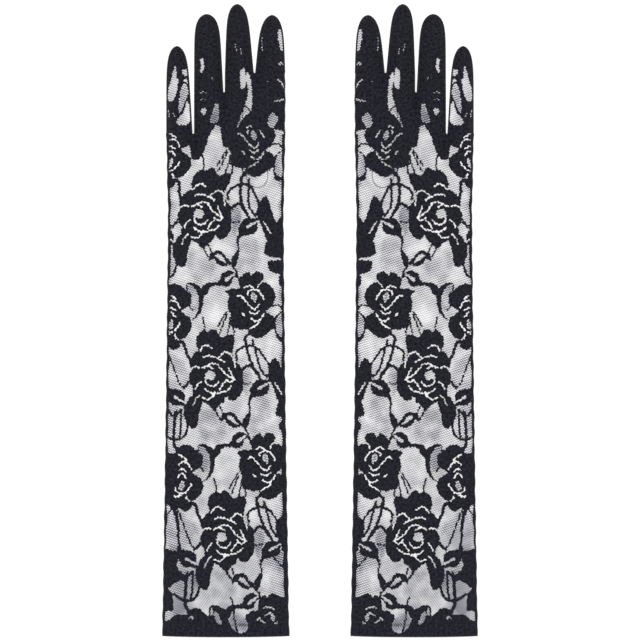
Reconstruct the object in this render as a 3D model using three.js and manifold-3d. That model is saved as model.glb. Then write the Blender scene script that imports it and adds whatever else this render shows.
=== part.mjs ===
// A pair of long lace opera gloves, empty and lying flat: the backs of the hands are up, the thumbs
// tucked under.
//
// Each glove is sewn from panels: a back and a palm panel for the upper arm, forearm, hand and each
// finger, a two-piece thumb set into a hole in the palm, a turned hem at the arm opening, and the
// seams that join them. The back panels bow up over the flat palm panels, so an arm, a hand and four
// fingers find their way in. The panels part at the elbow, the wrist, the finger roots and the thumb
// root, where the glove folds.
//
// Units are millimetres. One glove is drawn in its own frame: x across, growing towards the index
// finger, y from the arm opening to the fingertips, z up from the surface it lies on. The pair's
// origin is under its middle.
import * as THREE from "three";
import { mergeVertices } from "three/addons/utils/BufferGeometryUtils.js";
import Module from "manifold-3d";

// Driving dimensions of one glove, along the arm
const UPPER_ARM = 120; // from the arm opening to the elbow fold
const FOREARM = 250; // from the elbow fold to the wrist fold
const HEM_DEPTH = 16;

// Half widths of the flat arm, over its seams
const HEM_HALF = 55.3;
const WRIST_HALF = 50.3;
const ARM_TAPER = 1.3; // power of the narrowing from the opening to the wrist

// Fingers, from the little finger to the index: width at the root, reach of the root from the wrist
// fold, length from there, and lean of the tip from the middle of the root. taper is the share of
// its width lost by the tip, and a larger round makes a blunter tip.
const FINGER_SIZES = [
  { name: "little", width: 23.6, reach: 67, length: 76.5, lean: -2.2, taper: 0.2, round: 8 },
  { name: "ring", width: 26.8, reach: 103, length: 68.3, lean: -1.7, taper: 0.15, round: 9 },
  { name: "middle", width: 26.4, reach: 120, length: 60, lean: -1.8, taper: 0.3, round: 8 },
  { name: "index", width: 26.8, reach: 120, length: 50.5, lean: 1.6, taper: 0.25, round: 5.5 },
];

// Thumb, tucked under the palm: its root is fromSide in from the index side and fromWrist along
const THUMB = {
  fromSide: 24.8,
  fromWrist: 32,
  length: 62,
  half: 12.5,
  tuck: 12, // degrees towards the middle of the palm
  taper: 0.12,
  round: 4,
};
const THUMB_HOLE = { half: 8.5, reach: 11 }; // half its width, and half its length
const THUMB_HOLE_SEAM = 2; // width of the seam round the hole

// Rise of the back panels over the palm panels, inside
const ARM_RISE = 11;
const HAND_RISE = 8.5;
const FINGER_RISE = 6.5;
const DOME_POWER = 0.7;
const GROOVE_LENGTH = 42; // how far the grooves between the fingers run down the back of the hand
const HAND_SETTLE = 50; // from the wrist to where the back has come down to the hand's rise

// Cloth, seams and clearances
const CLOTH = 0.8;
const THUMB_CLOTH = 0.7;
const HEM_CLOTH = 0.6;
const HEM_CORNER = 4; // times the hem's cloth, taken by the sharp corner at each side of its hollow
const HEM_INSET = 2; // from the edge of the arm's panels
const SEAM_WIDTH = 1;
const HOLE_SEAM_HEIGHT = 0.6;
const GAP = 0.35;
const CROTCH_GAP = 1.2; // between neighbouring fingers
const WEB = 0.6; // width of the hand's cloth between them

// The pair
const SPACING = 164; // between the two centre lines

// Places that follow from those sizes
const ELBOW = UPPER_ARM;
const WRIST = UPPER_ARM + FOREARM;
const KNUCKLE_HALF = FINGER_SIZES.reduce((sum, finger) => sum + finger.width, 0) / 2;
const FINGERS = FINGER_SIZES.map((finger, index) => {
  const left = FINGER_SIZES.slice(0, index).reduce((x, before) => x + before.width, -KNUCKLE_HALF);
  const root = WRIST + finger.reach;
  return { ...finger, left, right: left + finger.width, root, tip: root + finger.length };
});
const LENGTH = Math.max(...FINGERS.map((finger) => finger.tip));
const THUMB_X = KNUCKLE_HALF - THUMB.fromSide;
const THUMB_Y = WRIST + THUMB.fromWrist;

// The palm is lifted off the surface where the thumb lies and swings: the cloth rises over LIFT_EDGE
// beside the thumb, over LIFT_START past the wrist, and comes down before the index finger.
const LIFT = 2 * THUMB_CLOTH + 3 * GAP + HOLE_SEAM_HEIGHT;
const LIFT_EDGE = 18;
const LIFT_MARGIN = 6; // full height beside the thumb
const LIFT_START = 15;
const LIFT_END = 16;

// Fineness of the faceted solids
const ARM_CELLS = 12;
const FINGER_CELLS = 6;
const FINGER_ROWS = 7;
const ARM_ROWS = 5;
const HAND_CELLS = 3; // across each finger's share of the hand
const HAND_ROWS = [4, 2, 1]; // up to the roots of the little finger, the ring finger and the others

const lace = new THREE.MeshStandardMaterial({ name: "lace", color: 0x24232c, roughness: 0.85 });
const seamThread = new THREE.MeshStandardMaterial({ name: "seam", color: 0x1b1a21, roughness: 0.7 });
const hemLace = new THREE.MeshStandardMaterial({ name: "hem", color: 0x201f27, roughness: 0.8 });

const wasm = await Module();
wasm.setup();

// Helpers for shapes

const mix = (a, b, t) => a + (b - a) * t;

function smoothStep(low, high, value) {
  const t = Math.min(1, Math.max(0, (value - low) / (high - low)));
  return t * t * (3 - 2 * t);
}

// Height of a bowed panel, from 1 in the middle to 0 at its edges, where across is -1 and 1.
const dome = (across) => Math.pow(Math.max(0, 1 - across * across), DOME_POWER);

// A sheet of cloth, one closed solid: cells columns by rows, where at(column, row) gives a point of
// its lower face, and keeps(column, row) says which cells are there.
function sheet(cells, rows, thickness, at, keeps = () => true) {
  const positions = [];
  for (let row = 0; row <= rows; row++) {
    for (let column = 0; column <= cells; column++) {
      const { x, y, z } = at(column, row);
      positions.push(x, y, z, x, y, z + thickness);
    }
  }
  const vertex = ([column, row], upper) => 2 * (row * (cells + 1) + column) + upper;
  const indices = [];
  const quad = (a, b, c, d) => indices.push(a, b, c, a, c, d);
  const isKept = (column, row) => {
    return column >= 0 && column < cells && row >= 0 && row < rows && keeps(column, row);
  };
  for (let row = 0; row < rows; row++) {
    for (let column = 0; column < cells; column++) {
      if (!isKept(column, row)) {
        continue;
      }
      const corners = [[column, row], [column + 1, row], [column + 1, row + 1], [column, row + 1]];
      const beside = [[column, row - 1], [column + 1, row], [column, row + 1], [column - 1, row]];
      const lower = corners.map((corner) => vertex(corner, 0));
      const upper = corners.map((corner) => vertex(corner, 1));
      quad(...upper);
      quad(lower[0], lower[3], lower[2], lower[1]);
      beside.forEach((neighbour, i) => {
        if (!isKept(...neighbour)) {
          const next = (i + 1) % 4;
          quad(lower[i], lower[next], upper[next], upper[i]);
        }
      });
    }
  }
  const geometry = new THREE.BufferGeometry();
  geometry.setAttribute("position", new THREE.Float32BufferAttribute(positions, 3));
  geometry.setIndex(indices);
  geometry.computeVertexNormals();
  return geometry;
}

// A flat plate from a closed outline of [x, y] points, from z = low to z = low + height.
function plate(points, low, height) {
  const shape = new THREE.Shape(points.map(([x, y]) => new THREE.Vector2(x, y)));
  return new THREE.ExtrudeGeometry(shape, { depth: height, bevelEnabled: false }).translate(0, 0, low);
}

function solidOf(geometry) {
  const bare = geometry.clone();
  bare.deleteAttribute("normal");
  bare.deleteAttribute("uv");
  const merged = mergeVertices(bare, 1e-3);
  const vertProperties = merged.attributes.position.array;
  const triVerts = new Uint32Array(merged.index.array);
  return new wasm.Manifold(new wasm.Mesh({ numProp: 3, vertProperties, triVerts }));
}

// The first geometry with the second cut out of it.
function cut(geometry, tool) {
  const mesh = solidOf(geometry).subtract(solidOf(tool)).getMesh();
  const made = new THREE.BufferGeometry();
  made.setAttribute("position", new THREE.BufferAttribute(new Float32Array(mesh.vertProperties), 3));
  made.setIndex(new THREE.BufferAttribute(new Uint32Array(mesh.triVerts), 1));
  made.computeVertexNormals();
  return made;
}

// The glove's shape

// Half the flat width at y, over the seams.
function halfWidth(y) {
  if (y < WRIST) {
    return mix(WRIST_HALF, HEM_HALF, Math.pow((WRIST - y) / WRIST, ARM_TAPER));
  }
  return mix(WRIST_HALF, KNUCKLE_HALF, Math.min(1, (y - WRIST) / (FINGERS[0].root - WRIST)));
}

// Half the width of the panels inside the side seams.
const panelHalf = (y) => halfWidth(y) - SEAM_WIDTH - GAP;

// How far across the palm the tucked thumb reaches, from its root's middle to its tip's inner side.
function thumbReach() {
  const tuck = THREE.MathUtils.degToRad(THUMB.tuck);
  return THUMB_X - THUMB.length * Math.sin(tuck) - THUMB.half * Math.cos(tuck);
}

// How far the palm is lifted off the surface by the thumb.
function lift(x, y) {
  const inner = thumbReach() - LIFT_MARGIN;
  const end = FINGERS[3].root - 2;
  const rise = smoothStep(inner - LIFT_EDGE, inner, x);
  const up = smoothStep(WRIST, WRIST + LIFT_START, y);
  const down = 1 - smoothStep(end - LIFT_END, end, y);
  return LIFT * rise * up * down;
}

const UNDER_BACK = CLOTH + GAP; // lower face of a back panel at its edges

// A finger's root: its middle and half its width, over the seam and narrowed by inset on each side.
function fingerRoot(finger, inset = 0) {
  const outer = finger === FINGERS[0] ? 0 : CROTCH_GAP / 2;
  const inner = finger === FINGERS[3] ? 0 : CROTCH_GAP / 2;
  const left = finger.left + outer + inset;
  const right = finger.right - inner - inset;
  return { middle: (left + right) / 2, half: (right - left) / 2 };
}

// The middle, half width and y of a finger's outline at share s of its length.
function fingerAt(finger, s) {
  const root = fingerRoot(finger);
  const half = root.half * (1 - finger.taper * s) * Math.sqrt(Math.max(0, 1 - Math.pow(s, finger.round)));
  return { middle: root.middle + finger.lean * s, half, y: mix(finger.root + GAP, finger.tip, s) };
}

// Shares of a finger's length where its pieces are drawn, closer together towards the tip. A panel
// ends at the last of them, and its seam goes on round the tip.
const LAST_SHARE = 0.955;
const SHARES = Array.from({ length: FINGER_ROWS + 1 }, (_, i) => {
  return LAST_SHARE * (1 - Math.pow(1 - i / FINGER_ROWS, 1.7));
});
const SEAM_SHARES = [...SHARES, 0.978];

// Pieces of the arm, from one y to another

function armPalm(from, to) {
  return sheet(1, ARM_ROWS, CLOTH, (column, row) => {
    const y = mix(from, to, row / ARM_ROWS);
    return { x: (2 * column - 1) * panelHalf(y), y, z: 0 };
  });
}

function armBack(from, to) {
  return sheet(ARM_CELLS, ARM_ROWS, CLOTH, (column, row) => {
    const y = mix(from, to, row / ARM_ROWS);
    const across = (2 * column) / ARM_CELLS - 1;
    return { x: across * panelHalf(y), y, z: UNDER_BACK + ARM_RISE * dome(across) };
  });
}

// A side seam, an overlocked ridge along one edge through the y of each row. side is -1 or 1, and it
// follows the palm's lift.
function sideSeam(rows, side) {
  const height = 2 * CLOTH + GAP;
  return sheet(1, rows.length - 1, height, (column, row) => {
    const y = rows[row];
    const outer = halfWidth(y);
    const left = side > 0 ? outer - SEAM_WIDTH : -outer;
    return { x: left + column * SEAM_WIDTH, y, z: lift(side * outer, y) };
  });
}

// Outline of the hollow between the arm's panels at the opening, as [x, z] points, narrowed by inset.
function mouthOutline(inset) {
  const half = panelHalf(HEM_DEPTH) - HEM_INSET - HEM_CORNER * inset;
  const low = CLOTH + GAP + inset;
  const rise = ARM_RISE - GAP - 2 * inset;
  const points = [
    [-half, low],
    [half, low],
  ];
  for (let i = 1; i < ARM_CELLS; i++) {
    const across = 1 - (2 * i) / ARM_CELLS;
    points.push([across * half, low + rise * dome(across)]);
  }
  return points;
}

// The turned hem, a band round the inside of the arm opening.
function hem() {
  const flip = ([x, z]) => new THREE.Vector2(x, -z);
  const shape = new THREE.Shape(mouthOutline(0).map(flip));
  shape.holes.push(new THREE.Path(mouthOutline(HEM_CLOTH).map(flip).reverse()));
  const band = new THREE.ExtrudeGeometry(shape, { depth: HEM_DEPTH, bevelEnabled: false });
  return band.rotateX(-Math.PI / 2);
}

// Pieces of the hand

// Columns across the hand, in the share of each finger: x at the knuckles, and across from -1 to 1
// over the share.
function handColumns() {
  const columns = [];
  FINGERS.forEach((finger, index) => {
    const inside = fingerRoot(finger, SEAM_WIDTH + GAP);
    const shared = fingerRoot(finger, (WEB - CROTCH_GAP) / 2);
    for (let i = 0; i <= HAND_CELLS; i++) {
      const across = (2 * i) / HAND_CELLS - 1;
      const atEdge = (index === 0 && i === 0) || (index === FINGERS.length - 1 && i === HAND_CELLS);
      const root = atEdge ? inside : shared;
      columns.push({ index, across, x: root.middle + across * root.half });
    }
  });
  return columns;
}

// Rows along the hand, with one at the root of each finger.
function handRows() {
  const rows = [];
  let from = WRIST + GAP;
  HAND_ROWS.forEach((cells, index) => {
    const to = FINGERS[index].root - GAP;
    for (let i = 0; i < cells; i++) {
      rows.push(mix(from, to, i / cells));
    }
    from = to;
  });
  return [...rows, from];
}

// How deep the groove beside each finger is at y: 0 on the flat of the hand, 1 from where the fingers
// part.
function grooves(index, y) {
  const depth = (line) => {
    const crotch = FINGERS[Math.min(Math.max(line, 1), FINGERS.length - 1) - 1].root;
    return smoothStep(crotch - GROOVE_LENGTH, crotch, y);
  };
  return [depth(index), depth(index + 1)];
}

// Rise of the hand's back panel: one wide bow at the wrist, turning into a bow for each finger at its
// root.
function handRise(column, x, y) {
  const wide = mix(ARM_RISE, HAND_RISE, smoothStep(WRIST, WRIST + HAND_SETTLE, y));
  const [before, after] = grooves(column.index, y);
  const groove = mix(before, after, (column.across + 1) / 2);
  return mix(wide * dome(x / panelHalf(y)), FINGER_RISE * dome(column.across), groove);
}

// A panel over the whole hand, up to the root of each finger. height gives its lower face.
function handSheet(height) {
  const columns = handColumns();
  const rows = handRows();
  const atKnuckles = KNUCKLE_HALF - SEAM_WIDTH - GAP;
  const at = (column, row) => {
    const y = rows[row];
    const x = (columns[column].x * panelHalf(y)) / atKnuckles;
    return { x, y, z: lift(x, y) + height(columns[column], x, y) };
  };
  return sheet(columns.length - 1, rows.length - 1, CLOTH, at, (column, row) => {
    return rows[row] < FINGERS[columns[column].index].root - 2 * GAP;
  });
}

function handPalm() {
  const hole = plate(holePoints(0), 0, LIFT + 2 * CLOTH);
  return cut(handSheet(() => 0), placeAtThumb(hole));
}

const handBack = () => handSheet((column, x, y) => UNDER_BACK + handRise(column, x, y));

// Pieces of a finger

function fingerPalm(finger) {
  return sheet(1, FINGER_ROWS, CLOTH, (column, row) => {
    const at = fingerAt(finger, SHARES[row]);
    return { x: at.middle + (2 * column - 1) * (at.half - SEAM_WIDTH - GAP), y: at.y, z: 0 };
  });
}

function fingerBack(finger) {
  return sheet(FINGER_CELLS, FINGER_ROWS, CLOTH, (column, row) => {
    const s = SHARES[row];
    const across = (2 * column) / FINGER_CELLS - 1;
    const at = fingerAt(finger, s);
    const rise = FINGER_RISE * dome(across) * dome(s * s);
    return { x: at.middle + across * (at.half - SEAM_WIDTH - GAP), y: at.y, z: UNDER_BACK + rise };
  });
}

// A U-shaped seam round an outline: at(s) gives the outline's middle, half width and y at share s.
function edgeSeam(at, height) {
  const side = (inset, direction) => {
    return SEAM_SHARES.map(at).map((here) => [here.middle + direction * (here.half - inset), here.y]);
  };
  const end = at(1);
  const outer = [...side(0, 1), [end.middle, end.y], ...side(0, -1).reverse()];
  const innerEnd = [end.middle, end.y - SEAM_WIDTH];
  const inner = [...side(SEAM_WIDTH, -1), innerEnd, ...side(SEAM_WIDTH, 1).reverse()];
  return plate([...outer, ...inner], 0, height);
}

const fingerSeam = (finger) => edgeSeam((s) => fingerAt(finger, s), 2 * CLOTH + GAP);

// Pieces of the thumb, drawn pointing along +y from its root and then turned to where it lies

function placeAtThumb(geometry) {
  return geometry.rotateZ(THREE.MathUtils.degToRad(THUMB.tuck)).translate(THUMB_X, THUMB_Y, 0);
}

// Points of the thumb hole's oval, or of one that is wider all round by edge.
function holePoints(edge) {
  const steps = 16;
  return Array.from({ length: steps }, (_, i) => {
    const angle = (2 * Math.PI * i) / steps;
    return [(THUMB_HOLE.half + edge) * Math.cos(angle), (THUMB_HOLE.reach + edge) * Math.sin(angle)];
  });
}

// The middle, half width and y of the thumb's outline at share s of its length.
function thumbAt(s) {
  const half = THUMB.half * (1 - THUMB.taper * s) * Math.sqrt(Math.max(0, 1 - Math.pow(s, THUMB.round)));
  return { middle: 0, half, y: mix(-THUMB_HOLE.reach, THUMB.length, s) };
}

// A panel of the thumb, from share from of its length.
function thumbPanel(from, low) {
  const end = SHARES[FINGER_ROWS];
  const panel = sheet(1, FINGER_ROWS, THUMB_CLOTH, (column, row) => {
    const at = thumbAt(mix(from, end, SHARES[row] / end));
    return { x: (2 * column - 1) * (at.half - SEAM_WIDTH - GAP), y: at.y, z: low };
  });
  return placeAtThumb(panel);
}

const THUMB_FRONT_LOW = THUMB_CLOTH + GAP;
// The front panel starts at this share of the thumb's length, past most of the hole.
const THUMB_MOUTH = (2 * THUMB_HOLE.reach - 1) / (THUMB.length + THUMB_HOLE.reach);
const thumbBack = () => thumbPanel(0, 0);
const thumbFront = () => thumbPanel(THUMB_MOUTH, THUMB_FRONT_LOW);
const thumbSeam = () => placeAtThumb(edgeSeam(thumbAt, THUMB_FRONT_LOW + THUMB_CLOTH));

// The seam that sets the thumb into the palm: an oval ring just under the palm panel.
function thumbHoleSeam() {
  const toVectors = (points) => points.map(([x, y]) => new THREE.Vector2(x, y));
  const shape = new THREE.Shape(toVectors(holePoints(THUMB_HOLE_SEAM)));
  shape.holes.push(new THREE.Path(toVectors(holePoints(0))));
  const ring = new THREE.ExtrudeGeometry(shape, { depth: HOLE_SEAM_HEIGHT, bevelEnabled: false });
  return placeAtThumb(ring.translate(0, 0, LIFT - GAP - HOLE_SEAM_HEIGHT));
}

// One glove, as a group of named meshes

function glove(hand) {
  const group = new THREE.Group();
  const add = (name, geometry, material) => {
    const mesh = new THREE.Mesh(geometry, material);
    mesh.name = `${hand}_${name}`;
    group.add(mesh);
  };
  const addArm = (name, from, to) => {
    add(`${name}_back`, armBack(from, to), lace);
    add(`${name}_palm`, armPalm(from, to), lace);
    const rows = Array.from({ length: ARM_ROWS + 1 }, (_, i) => mix(from, to, i / ARM_ROWS));
    add(`${name}_inner_seam`, sideSeam(rows, 1), seamThread);
    add(`${name}_outer_seam`, sideSeam(rows, -1), seamThread);
  };

  addArm("upper_arm", 0, ELBOW - GAP);
  add("upper_arm_hem", hem(), hemLace);
  addArm("forearm", ELBOW + GAP, WRIST - GAP);

  add("hand_back", handBack(), lace);
  add("hand_palm", handPalm(), lace);
  add("hand_inner_seam", sideSeam(handRows(), 1), seamThread);
  add("hand_outer_seam", sideSeam(handRows().slice(0, HAND_ROWS[0] + 1), -1), seamThread);
  add("thumb_hole_seam", thumbHoleSeam(), seamThread);

  for (const finger of FINGERS) {
    add(`${finger.name}_finger_back`, fingerBack(finger), lace);
    add(`${finger.name}_finger_palm`, fingerPalm(finger), lace);
    add(`${finger.name}_finger_seam`, fingerSeam(finger), seamThread);
  }

  add("thumb_back", thumbBack(), lace);
  add("thumb_front", thumbFront(), lace);
  add("thumb_seam", thumbSeam(), seamThread);
  return group;
}

// The pair: the right glove is the left one in a mirror.
const pair = new THREE.Group();
const left = glove("left");
left.position.set(-SPACING / 2, -LENGTH / 2, 0);
const right = glove("right");
right.position.set(SPACING / 2, -LENGTH / 2, 0);
right.scale.x = -1;
pair.add(left, right);

export default pair;
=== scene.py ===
# %% [markdown]
# # A pair of long lace opera gloves
#
# The gloves lie flat and empty, backs up, with the thumbs tucked under the palms. Warp-knitted lace
# is two things at once: a see-through net ground, and flowers of dense knitting that grow out of it.
# It could be one sheet with the flowers painted on, but they would look flat close up. So the ground
# is a sheet with a see-through weave, and the flowers are thin raised cloth that is really cut out.
#
# The imported model is loaded first. It says where each panel is, and every piece made below stands
# for some of its panels.

import math

import bpy
import numpy as np
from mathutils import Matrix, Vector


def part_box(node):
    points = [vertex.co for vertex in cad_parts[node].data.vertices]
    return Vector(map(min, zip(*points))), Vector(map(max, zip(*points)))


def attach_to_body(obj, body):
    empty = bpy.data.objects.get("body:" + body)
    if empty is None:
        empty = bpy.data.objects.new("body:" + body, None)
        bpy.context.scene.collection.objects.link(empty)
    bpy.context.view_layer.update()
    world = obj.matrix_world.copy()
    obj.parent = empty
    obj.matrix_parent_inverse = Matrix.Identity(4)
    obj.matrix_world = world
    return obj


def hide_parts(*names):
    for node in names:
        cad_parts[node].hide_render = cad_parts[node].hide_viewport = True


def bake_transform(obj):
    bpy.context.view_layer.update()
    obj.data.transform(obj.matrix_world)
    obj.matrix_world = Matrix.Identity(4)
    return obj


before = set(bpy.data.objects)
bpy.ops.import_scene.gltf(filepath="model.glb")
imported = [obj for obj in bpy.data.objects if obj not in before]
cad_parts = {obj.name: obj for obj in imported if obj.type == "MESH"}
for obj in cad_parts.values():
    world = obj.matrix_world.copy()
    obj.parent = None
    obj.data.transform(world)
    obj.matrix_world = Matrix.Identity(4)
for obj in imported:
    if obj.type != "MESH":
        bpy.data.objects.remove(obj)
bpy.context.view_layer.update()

# %% [markdown]
# One glove is drawn in millimetres in its own frame: x grows across it towards the index finger, y
# runs from the arm opening to the fingertips, and z is up. The other glove is its mirror image. The
# places of both come from the frame, so that each piece lands on the panel that it stands for.

# %% Sizes of one glove
ELBOW = 120.0
WRIST = 370.0
KNUCKLES = 437.0
HEM_HALF = 55.3
WRIST_HALF = 50.3
KNUCKLE_HALF = 51.8
ARM_TAPER = 1.3
PIECE_JOIN = 245.0  # y where the arm's pieces end and the hand's begin, half way along the forearm

opening_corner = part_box("left_upper_arm_outer_seam")[0]
OPENING = opening_corner.y
PAIR_HALF = -(opening_corner.x + HEM_HALF / 1000)  # from the middle of the pair to a glove's middle
print("arm opening at y", round(OPENING, 4), "centre lines at x", round(PAIR_HALF, 4))

# %% Fingers, from the little finger to the index
FINGERS = {
    "little": {"left": -51.8, "right": -28.2, "root": 437.0, "length": 76.5},
    "ring": {"left": -28.2, "right": -1.4, "root": 473.0, "length": 68.3},
    "middle": {"left": -1.4, "right": 25.0, "root": 490.0, "length": 60.0},
    "index": {"left": 25.0, "right": 51.8, "root": 490.0, "length": 50.5},
}
TIP_SHAPES = {  # share of the width lost by the tip, lean of the tip, and how blunt it is
    "little": (0.2, -2.2, 8.0),
    "ring": (0.15, -1.7, 9.0),
    "middle": (0.3, -1.8, 8.0),
    "index": (0.25, 1.6, 5.5),
}
ROOTS = [finger["root"] for finger in FINGERS.values()]
CROTCHES = ROOTS[:1] + ROOTS  # on both sides of each finger, from the glove's outer edge
CROTCH_GAP = 1.2
THUMB_ROOT = (27.0, 402.0)
THUMB_LENGTH = 62.0
THUMB_HALF = 12.5
THUMB_TUCK = math.radians(12)
print("fingertips at y", [finger["root"] + finger["length"] for finger in FINGERS.values()])

# %% [markdown]
# The back panels bow up over the flat palm panels, because the cloth is springy and never lies dead
# flat. A cloth simulation could find the bow, but it would settle a little differently from the solid
# panels that the cloth stands for. The same few curves as in those panels give the height of the
# cloth everywhere instead, and they take whole arrays of points at once.

# %% How wide the glove is
SEAM_INSET = 1.35  # from the glove's edge to the edge of its panels


def smooth(low, high, value):
    share = np.clip((value - low) / (high - low), 0, 1)
    return share * share * (3 - 2 * share)


def half_width(y):
    along_arm = np.clip((WRIST - y) / WRIST, 0, 1) ** ARM_TAPER
    arm = WRIST_HALF + (HEM_HALF - WRIST_HALF) * along_arm
    along_hand = np.clip((y - WRIST) / (KNUCKLES - WRIST), 0, 1)
    hand = WRIST_HALF + (KNUCKLE_HALF - WRIST_HALF) * along_hand
    return np.where(y < WRIST, arm, hand)


print("half widths:", [round(float(half_width(np.array(y))), 1) for y in (0, ELBOW, WRIST, KNUCKLES)])

# %% How far the palm is lifted by the thumb under it
LIFT = 3.05
LIFT_SIDE = (-22.1, -4.1)  # x where the lift begins, and where it is full
LIFT_START = 15.0  # length past the wrist over which it grows
LIFT_ENDS = (473.0, 488.0)  # y where it is gone, on either side of the middle finger's outer edge
LIFT_END_STEP = (-1.4, 3.0)
LIFT_FADE = 16.0


def palm_lift(x, y):
    end = LIFT_ENDS[0] + (LIFT_ENDS[1] - LIFT_ENDS[0]) * smooth(*LIFT_END_STEP, x)
    beside = smooth(*LIFT_SIDE, x)
    return LIFT * beside * smooth(WRIST, WRIST + LIFT_START, y) * (1 - smooth(end - LIFT_FADE, end, y))


print("palm over the thumb:", float(palm_lift(np.array(20.0), np.array(430.0))), "mm up")

# %% The bow of the backs
UNDER_BACK = 1.15
ARM_RISE, HAND_RISE, FINGER_RISE = 11.0, 8.5, 6.5
FLATTENING = 50.0  # length past the wrist over which the arm's bow settles to the hand's
GROOVE_LENGTH = 42.0  # how far before its crotches the hand's bow begins to part into fingers
GROOVE_INSET, GROOVE_REACH = 0.3, 0.31


def dome(across):
    return np.maximum(0, 1 - across * across) ** 0.7


def hand_bow(x, y):
    wide = ARM_RISE + (HAND_RISE - ARM_RISE) * smooth(WRIST, WRIST + FLATTENING, y)
    panel = half_width(y) - SEAM_INSET
    at_knuckles = x * (KNUCKLE_HALF - SEAM_INSET) / panel
    whole = wide * dome(x / panel)
    rise = whole
    for i, finger in enumerate(FINGERS.values()):
        middle = (finger["left"] + finger["right"]) / 2
        half = (finger["right"] - finger["left"]) / 2 - GROOVE_INSET
        across = np.clip((at_knuckles - middle) / half, -1, 1)
        before, after = [smooth(crotch - GROOVE_LENGTH, crotch, y) for crotch in CROTCHES[i:i + 2]]
        groove = before + (after - before) * (across + 1) / 2
        bow = whole * (1 - groove) + FINGER_RISE * dome(across) * groove
        rise = np.where(abs(at_knuckles - middle) <= half + GROOVE_REACH, bow, rise)
    return rise


def back_height(x, y):
    arm = ARM_RISE * dome(x / (half_width(y) - SEAM_INSET))
    return palm_lift(x, y) + UNDER_BACK + np.where(y < WRIST, arm, hand_bow(x, y))


print("middle of the arm's back:", float(back_height(np.array(0.0), np.array(ELBOW))), "mm up")

# %% [markdown]
# A finger narrows towards a blunt, rounded tip. Its outline could be traced point by point, but one
# formula does for all four: the half width at a share of the finger's length. The thumb has its own,
# and then it is turned to where it lies.

# %% Outlines of the fingers and the thumb
TIP_POINTS = 40
TIP_CROWDING = 2.2  # how strongly the outline's points crowd towards the tip
THUMB_TAPER, THUMB_BLUNT = 0.12, 4


def finger_side(name, share):
    """The middle and half width of a finger, and its y, at shares of its length."""
    finger = FINGERS[name]
    taper, lean, blunt = TIP_SHAPES[name]
    left = finger["left"] + (0 if name == "little" else CROTCH_GAP / 2)
    right = finger["right"] - (0 if name == "index" else CROTCH_GAP / 2)
    half = (right - left) / 2 * (1 - taper * share)
    half = half * np.sqrt(np.maximum(0, 1 - share ** blunt))
    return (left + right) / 2 + lean * share, half, finger["root"] + finger["length"] * share


def thumb_side(share):
    half = THUMB_HALF * (1 - THUMB_TAPER * share) * np.sqrt(np.maximum(0, 1 - share ** THUMB_BLUNT))
    return 0 * share, half, THUMB_LENGTH * share


def round_tip(side, inset=0.0, reach=0.0):
    """Points of a long outline with a round end, up one side and down the other."""
    share = 1 - (1 - np.linspace(0, 1, TIP_POINTS)) ** TIP_CROWDING
    middle, half, along = side(share)
    half = np.maximum(half - inset, 0)
    along = np.where(share == 0, along - reach, along - inset * share ** 4)
    right = np.stack([middle + half, along], 1)
    left = np.stack([middle - half, along], 1)[:-1]
    return np.concatenate([right, left[::-1]])


print("outline of the thumb:", len(round_tip(thumb_side)), "points")


# %% Turning the thumb, and the bow of a finger
def turn_thumb(points):
    x, y = points[:, 0], points[:, 1]
    cos, sin = math.cos(THUMB_TUCK), math.sin(THUMB_TUCK)
    turned = np.stack([THUMB_ROOT[0] + cos * x - sin * y, THUMB_ROOT[1] + sin * x + cos * y], 1)
    return np.concatenate([turned, points[:, 2:]], 1)


def thumb_share(x, y):
    cos, sin = math.cos(THUMB_TUCK), math.sin(THUMB_TUCK)
    return ((y - THUMB_ROOT[1]) * cos - (x - THUMB_ROOT[0]) * sin) / THUMB_LENGTH


def finger_height(name):
    def height(x, y):
        finger = FINGERS[name]
        share = np.clip((y - finger["root"]) / finger["length"], 0, 0.999)
        middle, half, _ = finger_side(name, share)
        across = np.clip((x - middle) / np.maximum(half - SEAM_INSET, 0.5), -1, 1)
        return UNDER_BACK + FINGER_RISE * dome(across) * dome(share ** 2)

    return height


print("tip of the thumb at", turn_thumb(np.array([[0.0, THUMB_LENGTH]])).round(1).tolist())

# %% [markdown]
# ## The lace pattern
#
# Lace is drawn by its designer as a repeat: here one large rose with a smaller rose on either side,
# and leaves, buds and a bell-shaped spray between them. The repeat climbs the arm three times and
# leans a little to one side as it goes. It could be drawn once as a picture, but points can be made
# bigger, mirrored and cut at any fineness. Each part is a short list of points, in millimetres from
# the big rose's eye, and a smooth curve is drawn through them. Solid parts come first, then light
# gaps between petals, then thin stems: the order matters, as it does for a knitter.

# %% The big rose
BIG_ROSE = [
    (-12.1, 32.4), (-9.2, 37.2), (-5.3, 39.2), (-2.4, 37.7), (1, 40.1), (4.8, 39.6), (7.3, 35.3),
    (11.1, 33.4), (14, 34.8), (18.9, 35.3), (20.6, 32.4), (20.3, 26.6), (18.9, 22.2), (20.3, 15),
    (23.7, 10.2), (27.1, 6.3), (27.8, 1.5), (28, -7.3), (27.4, -13.5), (23.2, -19.6), (19.6, -21.5),
    (16, -20.5), (14.8, -17.8), (12.3, -19.9), (11.6, -23.2), (8, -24.7), (3.6, -30), (-0.7, -26),
    (-4.4, -23.4), (-14, -19.8), (-15.5, -15.5),
    (-15, -11.1), (-17.4, -7.3), (-18.7, -1.5), (-17.9, 2.9), (-16.4, 5.8), (-17.9, 8.2),
    (-18.7, 12.6), (-16.4, 16.4), (-14, 19.8), (-10.6, 22.2), (-12.1, 26.6),
]
LONG_PETAL = [
    (-7.5, -17), (-8, -26), (-10.3, -33), (-11.3, -42.5), (-14.7, -45.8), (-19.5, -42.5),
    (-23.4, -33), (-20, -22), (-15, -17),
]
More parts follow.
